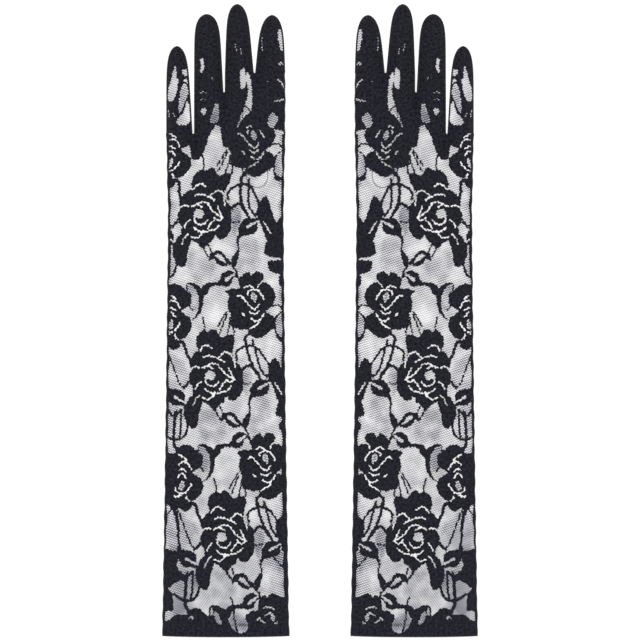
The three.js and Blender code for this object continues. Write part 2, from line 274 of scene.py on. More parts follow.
BIG_ROSE_EYE = [(-4, 2), (-1.5, 4.4), (2.4, 3.4), (4.4, 0), (2.4, -2.9), (-0.5, -3.4), (-3.4, -1.9)]
BIG_ROSE_GAPS = [
    [(-9.2, 21.8), (-6.8, 25.1), (-3.4, 26.6), (1.5, 23.7)],
    [(-6.3, 16), (-2.4, 17.4), (3.4, 16.4)],
    [(7.3, 16), (12.3, 20.5), (17.4, 18.9), (20.3, 13), (21.8, 7.3)],
    [(-13, -11.6), (-10.9, -7.3), (-8, -5)],
    [(4.8, 15.5), (10.2, 13.5), (12.1, 11.6)],
    [(-6, 7), (0.5, 10.5), (6.5, 9.5), (11.5, 3), (18.5, -2)],
    [(-17.5, 6), (-12.5, 8), (-9.5, 7)],
    [(-7, 7), (-2.5, 8.5), (2.5, 6)],
    [(-4.4, -1.5), (-3.4, -6.3), (1.5, -9.2), (5.8, -7.3), (7.3, -4.8)],
    [(-4.8, -11.1), (-0.5, -14.5), (4.4, -14.5)],
    [(2, -16), (8.5, -14.5), (14, -13), (17.9, -9.2)],
    [(13, -2.4), (16, -5.3), (19.3, -4.4), (19.8, -1.5)],
    [(-7, -19), (-1.5, -20.5), (3.5, -16)],
    [(-15, -26), (-12.5, -20), (-9.5, -17)],
    [(16, 6.5), (18, 2), (21, -3.6)],
    [(13, -5), (10.2, -8), (8, -12)],
]
print("big rose:", len(BIG_ROSE), "points,", len(BIG_ROSE_GAPS), "gaps")

# %% The small rose, drawn from its own eye
SMALL_ROSE = [
    (-11.6, 11.1), (-12.6, 15), (-10.6, 18.4), (-7.3, 21.3), (-4.4, 21.8), (-1.9, 18.9),
    (0.5, 21.8), (4.4, 22.2), (7.7, 20.3), (8.7, 17.9), (5.8, 12.6), (8.2, 13.1), (12.6, 12.1),
    (15, 9.2), (17.9, 5.3), (18.7, 0.5), (17.4, -4.4), (15, -7.3), (11.1, -9.2), (9.7, -12.1),
    (11.6, -13.1), (15, -15), (17.9, -17.9), (18.4, -22.7), (17.9, -26.6), (14, -29), (9.2, -33.4),
    (4.4, -35.3), (-0.5, -34.3), (-4.4, -31.4), (-5.3, -27.6), (-10.2, -28), (-15, -26.6),
    (-18.9, -24.7), (-19.8, -19.8), (-19.8, -15), (-21.8, -11.1), (-22.7, -4.4), (-21.3, 1.5),
    (-24.7, 5.3), (-21.8, 6.8), (-17.9, 7.7), (-14, 7.3), (-11.6, 8.2),
]
SMALL_ROSE_EYE = [(-2, 3.5), (0, 4.5), (2, 2), (2.5, -1.5), (1.5, -4), (-0.5, -2.5), (-2, 0)]
SMALL_ROSE_GAPS = [
    [(-8.2, 8.2), (-4.4, 10.2), (-0.5, 8.2)],
    [(-5.3, 2.4), (-4.4, 5.3), (-0.5, 6.8), (3.4, 6.3), (7.3, 1.5), (8.7, -1.5)],
    [(-4.4, -6.3), (-1.5, -9.2), (1.5, -10.2), (4.4, -6.3)],
    [(-3.9, -12.6), (0.5, -14.5), (4.4, -12.1)],
    [(-2.4, -17.9), (0.5, -20.3), (3.9, -20.3), (7.3, -16.9), (8.7, -14)],
    [(-3.4, -27.6), (0.5, -25.1), (5.3, -21.8)],
    [(-14.5, 0.5), (-12.6, 1.9), (-9.7, 0), (-5.3, -5.3)],
    [(-10.2, -13.5), (-7.7, -16)],
    [(3.9, 9.2), (5.8, 12.6)],
]
print("small rose:", len(SMALL_ROSE), "points,", len(SMALL_ROSE_GAPS), "gaps")

# %% Leaves and buds above the big rose
CRESCENT = [
    (-20.3, 80.3), (-16, 80.7), (-11.6, 78.8), (-7.7, 75.4), (-6.3, 69.1), (-6.8, 62.4),
    (-8.2, 56.6), (-11.1, 51.7), (-15, 48.6), (-17.4, 48.1), (-15, 49.8), (-12.1, 53.7),
    (-10.6, 58.5), (-10.2, 63.3), (-10.6, 69.1), (-12.6, 74), (-16, 78.3), (-19.8, 79.3),
]
HOOK = [
    (-7.7, 75.4), (-4.8, 79.3), (-0.5, 80.7), (5.3, 80.9), (6.3, 78.8), (1.5, 78), (-1, 75.9),
    (-2.4, 72), (-5.8, 69.9), (-6.8, 71.1),
]
LOWER_BUD = [
    (5.5, 78.3), (6.3, 81.7), (8.7, 84.6), (9.7, 88), (14, 90.9), (18.4, 90.9), (22.7, 87.5),
    (21.8, 86.1), (18.9, 84.1), (17.9, 80.3), (15, 77.6), (11.6, 77.6), (9.2, 78.3),
]
LOWER_BUD_SLOT = [(12.3, 83.2), (14, 85.1), (19.8, 88.5), (21.6, 88), (18.9, 85.6), (14, 81.9)]
UPPER_BUD = [
    (-1, 99.6), (-0.5, 105.4), (3.4, 107.8), (7.3, 108.6), (10.6, 106.9), (14, 102), (17.9, 96.7),
    (16, 96.7), (13, 95.2), (8.7, 95.8), (5.3, 98.1), (2.4, 102), (0, 100.5),
]
UPPER_BUD_SLOT = [
    (4.8, 104.9), (7.7, 105.4), (10.2, 103), (14, 98.1), (12.1, 98.1), (7.3, 101.5), (4.8, 103),
]
SMALL_LEAF = [
    (17.9, 101.5), (20.3, 104.9), (23.7, 108.8), (24.9, 107.8), (23.7, 101), (21.8, 96.2),
    (20.3, 94.3), (18.9, 97.2),
]
PALE_LEAF = [
    (-19.8, 78.8), (-16.4, 78.3), (-13.1, 74), (-10.6, 67.2), (-10.6, 60.4), (-13.1, 56.1),
    (-16, 58.5), (-18.9, 63.3), (-20.3, 69.1), (-20.5, 74.9),
]
print("above the rose:", len((CRESCENT, HOOK, LOWER_BUD, UPPER_BUD, SMALL_LEAF)), "leaves and buds")

# %% The leaves at the side and the bell-shaped spray
SIDE_LEAVES = [
    (56.5, 15.5), (60, 10), (63, 3), (67, -7), (70, -3), (73.3, 0.6), (78, 4), (78, -36),
    (60.2, -36), (56.4, -32), (58.8, -23), (57.8, -20.7), (55.9, -14.9), (53.5, -8), (51, -3.3),
    (50.3, 5.3), (52.7, 13),
]
LOW_SIDE_LEAF = [
    (59.3, -42.5), (61.2, -48.4), (66.5, -51.2), (78, -52), (78, -40), (66, -40), (60, -40.5),
]
HIGH_SIDE_LEAF = [(59.5, 86), (63.5, 89), (66, 80), (62, 76), (59.5, 80)]
PALE_SIDE_LEAF = [
    (56, 49.8), (58.5, 52.7), (62.4, 55.6), (66, 53), (66, 32), (60.4, 30.5), (57.5, 35.3),
    (56, 42),
]
LEAF_CUP = [(57.5, 34), (60, 30.5), (66, 29.5), (66, 32.5), (61, 33.5), (58.5, 36)]
SLOTTED_LEAF = [
    (34.3, -16), (34.3, -12), (36.3, -8.2), (38.2, -5.3), (42, -3.4), (45.9, -3.9), (50.3, -2.9),
    (52.2, -4.8), (50.8, -8.2), (50.3, -13), (47.4, -16.4), (42, -17.9), (37.2, -18.9), (34, -22),
]
LEAF_SLOT = [
    (40.6, -11.6), (42.1, -9.7), (46.9, -7.3), (51.2, -5.3), (51.7, -6.3), (45.9, -9.7),
    (41.6, -12.3),
]
BELL_LINES = [  # each with its width
    (2.1, [(33.4, 36.7), (30.5, 33.8), (30, 30), (31.4, 26.1)]),
    (1.4, [(21.8, 18.9), (23.7, 22.2), (27.6, 24.7), (32.4, 26.1), (37.2, 25.6), (42.1, 22.2)]),
    (1.4, [(42.1, 22.2), (45.9, 16.9), (50.3, 10.2), (51.2, 3), (48.8, -1)]),
    (1.8, [(31, 25.6), (32.4, 19.8), (34.3, 14), (37.2, 7.3), (41.1, 1.5), (43, -2.4)]),
    (1.4, [(36.3, 30.5), (38.2, 24.7), (40.1, 16.9), (42.1, 9.2), (45, 3.4), (48.8, -1)]),
    (1.8, [(28, 4.8), (30, 7.7), (33.4, 9.2), (36.7, 6.8), (40.1, 1.9)]),
    (1.2, [(21.8, 18.9), (22.7, 15), (23.7, 13.1)]),
    (1.2, [(34.5, -19), (32.9, -24)]),
]
print("bell:", len(BELL_LINES), "ribs and stems")

# %% Stems and veins of the repeat
VEINS = [
    (1.2, [(14, 101.5), (17.9, 96.7), (21.8, 91.4), (23.7, 85.6), (25.6, 80.7), (26.6, 75.9)]),
    (0.9, [(24.2, 108.8), (23.7, 117.5), (24, 121)]),
    (0.8, [(-20.5, 79), (-21, 69.1), (-19, 62), (-16, 57)]),
    (0.9, [(47.4, 57), (55.6, 61.4), (60.4, 60.4), (63.5, 55.6)]),
    (0.8, [(-7.3, 51.7), (-5.8, 45.9), (-4.8, 40.1)]),
    (0.8, [(14.5, 56.1), (10.2, 49.8), (6.3, 42.1)]),
    (0.8, [(14.5, 53.7), (11.6, 46.9), (8.2, 37.2)]),
    (0.8, [(16.9, 50.8), (16.4, 45), (14.5, 35.3)]),
    (0.8, [(17.9, 44), (20.3, 40.1), (20.3, 35.3)]),
    (0.8, [(-24.2, -12), (-17.9, -5.8)]),
    (0.8, [(3.2, -28.9), (8.5, -37.6)]),
    (0.8, [(7.5, -25), (11.4, -34.7)]),
    (2.0, [(-27.1, 30), (-23.2, 27.6), (-21.3, 20.8), (-18.7, 14.8)]),
]
SIDE_GAPS = [
    [(55.9, -6.2), (58.8, -11), (62.7, -16.8)],
    [(56, -34), (60, -38.5), (66, -38), (73, -39)],
]
print("stems and veins:", len(VEINS))

# %% [markdown]
# A shape is turned into a field: at every point of a fine grid, how far inside the shape it lies, in
# millimetres, and below zero outside. Boolean modifiers could cut the gaps and join the stems, but
# there are hundreds of them. Fields join and cut one another with a plain maximum or minimum.

# %% Smooth curves, and distances to them
GAPS = {"back": 1.35, "palm": 4.0}  # mm between petals, in each layer
REACH = 3.0  # mm round a shape where its field is worked out
LINE_FUZZ = 0.15  # added each side of a stem, so that its wavering edge never breaks it


def curve_through(points, closed, steps=3):
    """A smooth curve through the points, with steps pieces between each two."""
    points = np.array(points, float)
    count = len(points)
    if closed:
        around = [np.roll(points, shift, 0) for shift in (1, 0, -1, -2)]
    else:
        ends = np.concatenate([points[:1], points, points[-1:]])
        around = [ends[i:i + count - 1] for i in range(3)]
        around.append(np.concatenate([ends[3:], ends[-1:]])[:count - 1])
    a, b, c, d = [np.asarray(part)[:, None, :] for part in around]
    t = (np.arange(steps) / steps)[None, :, None]
    curve = b + 0.5 * t * (c - a + t * (2 * a - 5 * b + 4 * c - d + t * (3 * (b - c) + d - a)))
    curve = curve.reshape(-1, 2)
    return curve if closed else np.concatenate([curve, points[-1:]])


def distance_to(line, x, y, closed):
    """Distance of each point to a line, and whether it is inside when the line is closed."""
    nearest = np.full(x.shape, 1e9)
    inside = np.zeros(x.shape, bool)
    ends = np.roll(line, -1, 0) if closed else line[1:]
    for (ax, ay), (bx, by) in zip(line, ends):
        dx, dy = bx - ax, by - ay
        along = ((x - ax) * dx + (y - ay) * dy) / max(dx * dx + dy * dy, 1e-9)
        along = np.clip(along, 0, 1)
        gap = (x - ax - along * dx) ** 2 + (y - ay - along * dy) ** 2
        nearest = np.minimum(nearest, gap)
        if closed and ay != by:
            crosses = (ay > y) != (by > y)
            inside ^= crosses & (x < ax + (y - ay) * dx / dy)
    return np.sqrt(nearest), inside


print("curve of the big rose:", len(curve_through(BIG_ROSE, True)), "points")


# %% Four ways to draw into a field
def near(line, x, y):
    low, high = line.min(0) - REACH, line.max(0) + REACH
    return np.nonzero((x > low[0]) & (x < high[0]) & (y > low[1]) & (y < high[1]))[0]


def measured(points, closed, x, y):
    """Which places are near the curve, how far from it each is, and whether it is inside."""
    line = curve_through(points, closed)
    at = near(line, x, y)
    return at, *distance_to(line, x[at], y[at], closed)


def grow(field, outline, x, y):
    at, depth, inside = measured(outline, True, x, y)
    field[at] = np.maximum(field[at], np.where(inside, depth, -depth))


def open_window(field, outline, x, y, wider=0.0):
    at, depth, inside = measured(outline, True, x, y)
    field[at] = np.minimum(field[at], np.where(inside, -depth, depth) - wider)


def open_gap(field, points, x, y, width):
    at, depth, _ = measured(points, False, x, y)
    field[at] = np.minimum(field[at], depth - width / 2)


def grow_line(field, points, x, y, width):
    at, depth, _ = measured(points, False, x, y)
    field[at] = np.maximum(field[at], width / 2 + LINE_FUZZ - depth)


print("a field is worked out up to", REACH, "mm round each shape")

# %% [markdown]
# The repeat has a twist that makes it look hand drawn: the small rose and the slotted leaf on its
# right side come back on its left, upside down. The spray of ribs between them comes back too, but
# drawn narrower, as the lace is pulled in there. Three softer kinds are drawn beside the dark knit:
# pale leaves, greyer patches of plain ground, and the very open ground inside the roses.

# %% The left side of the repeat
FLIPPED_ROSE_PLACE = (-35.3, 44.8)  # of the small rose's eye
FLIPPED_LEAF = (-73.0, -29.6)  # where the flip takes the big rose's eye
LEFT_BELL_LINES = [
    (1.5, [(-42, -49.5), (-37, -53.5), (-33, -55.2), (-27, -55.2), (-23, -52.5), (-20.5, -47.5)]),
    (1.5, [(-20.5, -47.5), (-19.8, -40.5), (-21, -33.5), (-22.5, -28.5)]),
    (1.3, [(-25.5, -29.5), (-25.8, -39.5), (-26.3, -48.5), (-27.5, -55)]),
    (2.2, [(-30.5, -31.5), (-31.5, -41.5), (-32, -49.5), (-32.5, -55.5), (-31.5, -60.5)]),
    (2.2, [(-31.5, -60.5), (-28.5, -66.5)]),
    (1.3, [(-37, -30.5), (-34.5, -33.5), (-32, -35), (-29, -33.5), (-26, -29.5)]),
    (0.9, [(-39, 25), (-34, 12), (-29, -2), (-24, -10), (-17, -2)]),
]
PALE_BETWEEN = [
    (27, 6.5), (30, 9.5), (34, 5.5), (37, -1), (35.5, -7), (33.5, -12), (32, -18), (30, -17),
    (28.5, -11), (27, -4), (27, 1.5),
]
BETWEEN_LINES = [
    (0.6, [(27, -6), (31, -7.2), (35.5, -6)]),
]
GREY_GROUND = [  # patches where the plain ground is drawn greyer
    [(31, -46.5), (31, -26.5), (34, -17.5), (45, -17), (51, -24.5), (53, -36.5), (52.5, -46.5),
     (43, -49.5), (35, -50.5)],
    [(-10, -41.5), (-7, -30.5), (0, -29.5), (3, -26.5), (9, -34.5), (13, -41.5), (13, -48.5),
     (8, -61.5), (1, -60.5), (-5, -56.5), (-9, -50.5)],
    [(-46, -12), (-45, 12), (-37, 22), (-28, 15), (-20, 5), (-22, -8), (-30, -13)],
    [(-44, -27), (-30, -26), (-24, -31), (-21, -40), (-22, -52), (-27, -58), (-33, -55), (-44, -50)],
]
print("left side:", len(LEFT_BELL_LINES), "ribs and stems,", len(GREY_GROUND), "closer grounds")

# %% Roses and leaves
SMALL_ROSE_PLACE = (37.5, 68.0)  # of its eye


def widened(gaps):
    """How much an eye, a slot or a window grows when the gaps are wider than a millimetre."""
    return (gaps - 1) / 2


def draw_rose(dark, petals, eye, between, x, y, gaps):
    for outline in petals:
        grow(dark, outline, x, y)
    open_window(dark, eye, x, y, widened(gaps))
    for gap in between:
        open_gap(dark, gap, x, y, gaps)


def draw_small_rose(dark, pale, x, y, gaps):
    draw_rose(dark, [SMALL_ROSE], SMALL_ROSE_EYE, SMALL_ROSE_GAPS, x, y, gaps)
    grow(pale, SMALL_ROSE_EYE, x, y)


def draw_slotted_leaf(dark, x, y, gaps):
    grow(dark, SLOTTED_LEAF, x, y)
    open_window(dark, LEAF_SLOT, x, y, widened(gaps))


def draw_side_leaf(dark, pale, x, y):
    grow(pale, PALE_SIDE_LEAF, x, y)
    grow(dark, LEAF_CUP, x, y)
    grow_line(dark, PALE_SIDE_LEAF + PALE_SIDE_LEAF[:1], x, y, 1.0)


print("petal gaps in a big rose:", len(BIG_ROSE_GAPS), "and in a small one:", len(SMALL_ROSE_GAPS))


# %% Sprigs, and the open ground inside the roses
def draw_sprigs(dark, pale, x, y, gaps):
    """The buds, the crescent leaf and the stems above a big rose."""
    for outline in (CRESCENT, HOOK, LOWER_BUD, UPPER_BUD, SMALL_LEAF):
        grow(dark, outline, x, y)
    for outline in (LOWER_BUD_SLOT, UPPER_BUD_SLOT):
        open_window(dark, outline, x, y, widened(gaps))
    grow(pale, PALE_LEAF, x, y)
    for width, line in VEINS:
        grow_line(dark, line, x, y, width)


def draw_open_ground(rose, x, y):
    """Where the roses lie. The ground between their petals is knitted very open."""
    grow(rose, BIG_ROSE, x, y)
    open_window(rose, BIG_ROSE_EYE, x, y)
    grow(rose, SMALL_ROSE, x - SMALL_ROSE_PLACE[0], y - SMALL_ROSE_PLACE[1])
    grow(rose, SMALL_ROSE, x - FLIPPED_ROSE_PLACE[0], FLIPPED_ROSE_PLACE[1] - y)


print("lines in a sprig:", len(VEINS))


# %% One repeat of the lace
def draw_repeat(dark, pale, x, y, gaps):
    draw_small_rose(dark, pale, x - SMALL_ROSE_PLACE[0], y - SMALL_ROSE_PLACE[1], gaps)
    draw_small_rose(dark, pale, x - FLIPPED_ROSE_PLACE[0], FLIPPED_ROSE_PLACE[1] - y, gaps)
    for outline in (SIDE_LEAVES, LOW_SIDE_LEAF, HIGH_SIDE_LEAF):
        grow(dark, outline, x, y)
    for gap in SIDE_GAPS:
        open_gap(dark, gap, x, y, gaps)
    draw_rose(dark, [BIG_ROSE, LONG_PETAL], BIG_ROSE_EYE, BIG_ROSE_GAPS, x, y, gaps)
    draw_sprigs(dark, pale, x, y, gaps)
    draw_slotted_leaf(dark, x, y, gaps)
    draw_slotted_leaf(dark, x - FLIPPED_LEAF[0], FLIPPED_LEAF[1] - y, gaps)
    draw_side_leaf(dark, pale, x, y)
    grow(pale, PALE_BETWEEN, x, y)
    for width, line in BETWEEN_LINES + BELL_LINES + LEFT_BELL_LINES:
        grow_line(dark, line, x, y, width)


print("stems in a repeat:", len(VEINS + BETWEEN_LINES + BELL_LINES + LEFT_BELL_LINES))

# %% [markdown]
# The piece of lace that this glove was cut from ends in a heavier border: near the arm opening the
# flowers grow together, and dark leaves crowd in from both sides. These are drawn in the glove's own
# frame, because the cutting and not the repeat decides where they fall.

# %% The border at the arm opening
BORDER = [
    (-58, -3), (-58, 11.5), (-52, 13), (-49, 14), (-46, 17.5), (-41, 19), (-36, 18.5), (-32, 20),
    (-30, 23.5), (-26, 24.5), (-22, 23.5), (-19, 20), (-16, 18), (-12.5, 17.5), (-10, 20),
    (-11.5, 26), (-8, 26.8), (-4, 24.8), (0.5, 22), (2, 16), (4, 9.5), (8, 4.5), (12, 2.5),
    (17, 3.5), (19.5, 8), (18.5, 14), (17, 17), (20, 20), (24, 22.5), (27.5, 22), (28.5, 27),
    (29, 31), (31, 34.3), (34, 35.5), (36, 33.8), (39, 36.7), (43, 37), (46, 35), (50, 34),
    (58, 33), (58, -3),
]
BORDER_PALE = [
    [(-9.7, 21), (-7.3, 21.3), (-5, 17), (-3.5, 11.5), (-6.5, 12), (-8.7, 15.5)],
    [(39.5, 18), (41, 20), (42.5, 17), (42.5, 14), (40.5, 14), (39.5, 15.5)],
]
BORDER_GAPS = [
    [(33, 25), (36, 26), (39, 25.5), (42, 24)],
    [(34, 18), (37, 20), (39, 21)],
    [(27.5, 14.5), (29, 16.5), (31, 14.5), (34, 12), (38, 11), (42, 11), (45, 12.5)],
    [(-31.5, 16), (-29.5, 17.8), (-27.7, 15.5)],
]
SIDE_MASSES = [
    [(-58, 150), (-42, 150), (-41, 143), (-44, 133), (-45, 126), (-46, 122), (-50.5, 122),
     (-50.8, 116), (-58, 116)],
    [(-46.5, 112), (-44, 103), (-42, 92), (-40.5, 86), (-40, 93), (-41, 103), (-43, 110)],
    [(-58, 74.5), (-50, 75.5), (-46, 74.5), (-42, 73.5), (-40.5, 70), (-42.5, 64), (-42, 60),
     (-39.5, 55), (-39, 49.5), (-43.5, 46.5), (-48, 43.5), (-50.5, 41), (-58, 41)],
    [(-58, 40), (-50.5, 41), (-47.5, 38), (-46, 34), (-45.5, 28), (-46, 22.5), (-50, 22),
     (-58, 21)],
    [(43.5, 99), (46.5, 102), (50.5, 106), (58, 106), (58, 72), (50, 74), (48.5, 78), (47, 82),
     (45, 86), (43.8, 92)],
    [(-41, 55), (-37, 54.5), (-34, 50.5), (-34.5, 46.5), (-38, 49), (-40.5, 51.5)],
]
SIDE_PALE = [
    [(-51, 48), (-44, 50), (-37, 46), (-35, 40), (-38, 34), (-46, 33), (-51, 38)],
    [(-43.5, 71), (-40, 71.5), (-38, 62), (-31, 56), (-25, 54), (-23.5, 46), (-26, 38), (-32, 33),
     (-40, 34), (-42, 44), (-40, 55), (-42, 62)],
    [(42, 80), (48, 84), (50, 70), (49, 58), (46, 56), (43, 66)],
    [(-50.5, 97), (-47, 99), (-44, 92), (-41, 84), (-40.5, 75), (-50, 75.5)],
    [(-45, 36), (-40, 33), (-37, 32), (-36.5, 20), (-44, 18), (-45.5, 28)],
    [(46, 81), (49, 77), (49.5, 72), (45, 74)],
    [(8, 4.5), (5, 10), (3, 15), (7, 20), (11, 20.5), (15, 18), (18.5, 14), (19.5, 8), (16, 3.5)],
]
SIDE_LINES = [
    (1.4, [(-41.5, 89), (-40, 78), (-38.5, 71)]),
    (0.8, [(41, 69.5), (45, 65), (50, 59.5)]),
    (0.8, [(44, 76), (49, 72)]),
    (0.8, [(-50, 122), (-47, 112), (-44, 108)]),
    (0.8, [(-50, 106), (-47, 111), (-44, 113)]),
    (0.8, [(7, 21), (8.5, 11), (10.5, 3)]),
    (0.8, [(4.5, 35), (6.5, 28), (8, 21)]),
]
print("border:", len(BORDER), "points, and", len(SIDE_MASSES), "dark leaves at the sides")

# %% [markdown]
# On the hand the roses run together into one dense mass, and the fingers are almost solid, with a few
# small windows of net. That dense part is drawn last, over the repeats, in the glove's own frame.

# %% The dense lace of the hand and the windows in the fingers
HAND_TOP = [
    (-62, 436), (-45, 438), (-33, 436), (-30.4, 421.4), (-29.5, 415.6), (-26.1, 414.2),
    (-22.7, 415.6), (-17.4, 425.3), (-14.5, 435), (-9.3, 443), (-4.6, 443), (-3.8, 436.7),
    (-3, 430.7), (-1, 425.3), (2.9, 426.3), (9.7, 435), (13, 441), (25, 440), (36, 442), (62, 440),
    (64, 470), (64, 575), (-64, 575), (-64, 470),
]
FINGER_WINDOWS = [
    [(-43.9, 495.7), (-42.6, 490.4), (-43.1, 487), (-41.3, 483.5), (-42.6, 473), (-45.7, 466.1),
     (-48.7, 465.2), (-50.5, 466.9), (-49.6, 474.8), (-47.4, 483.5), (-45.3, 491.3)],
    [(-37, 492.2), (-33.5, 493), (-32.2, 490.4), (-32.2, 486.1), (-34.4, 487.8), (-37, 487.8)],
    [(-33.5, 465.2), (-30.9, 457.4), (-30.9, 448.7), (-34.4, 444.7), (-42.2, 445.2),
     (-41.3, 450.4), (-37.9, 453), (-35.2, 458.2)],
    [(-22.2, 500.9), (-20, 501.7), (-18.7, 495.7), (-20, 490.9), (-22.2, 490.9), (-20.9, 496.5)],
    [(-21.3, 457.4), (-18.7, 458.7), (-16.5, 457.4), (-18.7, 453), (-20, 453)],
    [(14.4, 493), (16.5, 492.2), (17.4, 483.5), (17, 477.4), (14.4, 474.8), (13.1, 479.1),
     (12.6, 488.7)],
    [(18.7, 489.6), (20.9, 487), (22.2, 479.1), (23.1, 470.4), (22.6, 459.1), (20.5, 454.8),
     (17, 452.1), (15.2, 448.7), (15.7, 455.6), (17, 461.7), (19.6, 470.4), (19.6, 476.5),
     (17.9, 483.5)],
    [(46.1, 527), (47.9, 526.6), (49.6, 518.3), (50.5, 511.3), (48.3, 508.7), (47, 513.9),
     (45.7, 520)],
]
PALE_WINDOWS = [
    [(-36.1, 480), (-33.5, 478.3), (-32.8, 471.3), (-35.2, 466.1), (-37, 460), (-39.6, 455.6),
     (-40.5, 457.4), (-40, 466.1), (-38.7, 474.8)],
    [(-8.7, 462.2), (-6.5, 461.7), (-5.7, 453), (-7.4, 446.9), (-13.5, 446.9), (-11.7, 453),
     (-10, 459.1)],
    [(40.5, 454.8), (43.1, 453), (45.3, 450.4), (44, 446), (40.5, 441.7), (37.9, 443.4),
     (37, 448.7), (38.7, 453)],
]
FINGER_GAPS = [
    [(-36.1, 482.6), (-34.4, 484.3), (-33.5, 480.9)],
    [(46.6, 497), (48.3, 498.7), (50, 497.4)],
    [(45.3, 483.5), (48.7, 480.9), (50.9, 477.4)],
    [(43.1, 465.2), (47.4, 465.6), (50.5, 467.4)],
    [(17.9, 441.7), (20.5, 443), (22.6, 442.6)],
    [(14.4, 454.8), (12.6, 446.9), (10, 442.6)],
]
FINGER_SPECKS = [
    [(-22.5, 472), (-19.5, 473.5), (-16.8, 472)],
    [(-22.5, 466), (-19.5, 467.5), (-17, 466)],
    [(8.5, 515), (9.5, 508)],
    [(13, 511), (13.5, 506)],
    [(31.5, 521), (32, 509)],
    [(36.5, 482), (38, 484)],
    [(-50.3, 458), (-49, 452)],
    [(-46, 455), (-44, 451)],
    [(-12, 486), (-11, 483)],
]
SPECK_WIDTH = 1.1
print("windows in the fingers:", len(FINGER_WINDOWS) + len(PALE_WINDOWS))

# %% [markdown]
# Knitting can't follow a smooth line: its edges go up and down in stitches, and every stem is pulled
# a little to and fro. Random noise would do this too, but a few waves whose crests drift are enough,
# and they need no seed.

# %% The small unevenness of knitted edges
EDGE_STITCH = 0.17
FINE_PULL, BROAD_PULL = 0.38, 0.25
SEAM_BAND = 1.4  # cloth turned in beside the dark edges, seen through the net
OUTER_BAND, INNER_BAND, INNER_BAND_LOSS = 2.2, 4.0, 1.8
BAND_NARROWS = (110.0, 300.0)  # y where the inner band begins to lose width, and where it has


def wave(along, pace, beside, drift_pace, drift=1.0):
    """A wave along one way whose crests drift with the other, so that no two stretches match."""
    return np.sin(pace * along + drift * np.sin(drift_pace * beside))


def knit_edge(x, y):
    """The small steps that a knitted edge has, in millimetres in or out."""
    return EDGE_STITCH * wave(x, 2.2, y, 1.1, 0.8) + EDGE_STITCH * wave(y, 2.5, x, 1.3, 0.9)


def pulled(x, y):
    """The points pulled a little each way, as stitches are, so that outlines and stems waver."""
    across = FINE_PULL * wave(y, 2.1, x, 0.9) + BROAD_PULL * wave(y, 0.95, x, 0.5, 1.3)
    along = FINE_PULL * wave(x, 2.3, y, 1.1) + BROAD_PULL * wave(x, 1.05, y, 0.6, 1.2)
    return x + across, y + along


def edge_band(x, y):
    """How far inside the dark turned-in edges a point is. They are widest near the arm opening."""
    wide = np.where(x > 0, INNER_BAND - INNER_BAND_LOSS * smooth(*BAND_NARROWS, y), OUTER_BAND)
    wide = wide + 0.35 * np.sin(y / 3.1) + 0.25 * np.sin(y / 7.3)
    return wide - (half_width(y) - abs(x))


print("an edge moves by up to", round(2 * EDGE_STITCH + FINE_PULL + BROAD_PULL, 2), "mm")

# %% [markdown]
# Now the whole glove is drawn: three repeats up the arm, the border at the opening, and the dense
# hand over them. The back is drawn finer than the palm, which lies under it, and with narrower gaps,
# so that light comes through a gap in the back and the wider one below it.

# %% The border and the hand
BORDER_EYE = (7.0, -53.6)  # of the big rose that was cut away below the opening


def draw_border(dark, pale, x, y, gaps):
    """The sprigs under the border, then the border and the dark leaves at the sides."""
    draw_sprigs(dark, pale, x - BORDER_EYE[0], y - BORDER_EYE[1], gaps)
    for outline in [BORDER] + SIDE_MASSES:
        grow(dark, outline, x, y)
    for outline in BORDER_PALE:
        open_window(dark, outline, x, y, widened(gaps))
    for gap in BORDER_GAPS:
        open_gap(dark, gap, x, y, gaps)
    for outline in BORDER_PALE + SIDE_PALE:
        grow(pale, outline, x, y)
    for width, line in SIDE_LINES:
        grow_line(dark, line, x, y, width)


def draw_hand(dark, pale, x, y, gaps):
    """The dense top of the hand, and what opens in it."""
    grow(dark, HAND_TOP, x, y)
    for window in FINGER_WINDOWS + PALE_WINDOWS:
        open_window(dark, window, x, y, widened(gaps))
    for window in PALE_WINDOWS:
        grow(pale, window, x, y)
    for gap in FINGER_GAPS:
        open_gap(dark, gap, x, y, gaps)
    for speck in FINGER_SPECKS:
        open_gap(dark, speck, x, y, SPECK_WIDTH)
        grow_line(pale, speck, x, y, 3 * SPECK_WIDTH)


print("dense hand drawn from", len(HAND_TOP), "points")

# %% The whole glove's lace
REPEAT_RISE = 140.1
REPEAT_LEAN = -10.0
MIDDLE_EYE = (-13.0, 226.6)  # of the big rose half way up the arm
REPEATS = (-1, 0, 1)
HAND_SHIFT = 10.0  # the pattern moves over this far between the wrist and the hand
HAND_SHIFT_ENDS = (366.0, 417.0)
KNITS = ("dark", "pale", "grey", "rose")


def draw_glove_lace(x, y, gaps):
    """The fields of the dark knit, the pale knit, the grey ground and the roses, in millimetres."""
    dark, pale, grey, rose = [np.full(x.shape, -REACH) for _ in KNITS]
    edge = np.where(y < KNUCKLES, edge_band(x, y), -REACH)
    stitches = knit_edge(x, y)
    x, y = pulled(x, y)
    shift = HAND_SHIFT * smooth(*HAND_SHIFT_ENDS, y)
    for step in REPEATS:
        from_x = x - shift - MIDDLE_EYE[0] - REPEAT_LEAN * step
        from_y = y - MIDDLE_EYE[1] - REPEAT_RISE * step
        draw_repeat(dark, pale, from_x, from_y, gaps)
        for outline in GREY_GROUND:
            grow(grey, outline, from_x, from_y)
        draw_open_ground(rose, from_x, from_y)
    draw_border(dark, pale, x, y, gaps)
    draw_hand(dark, pale, x, y, gaps)
    dark = np.maximum(dark, edge) + stitches
    return dark, np.maximum(pale, edge + SEAM_BAND), grey, rose


print("big roses at y", [round(MIDDLE_EYE[1] + REPEAT_RISE * step, 1) for step in REPEATS])

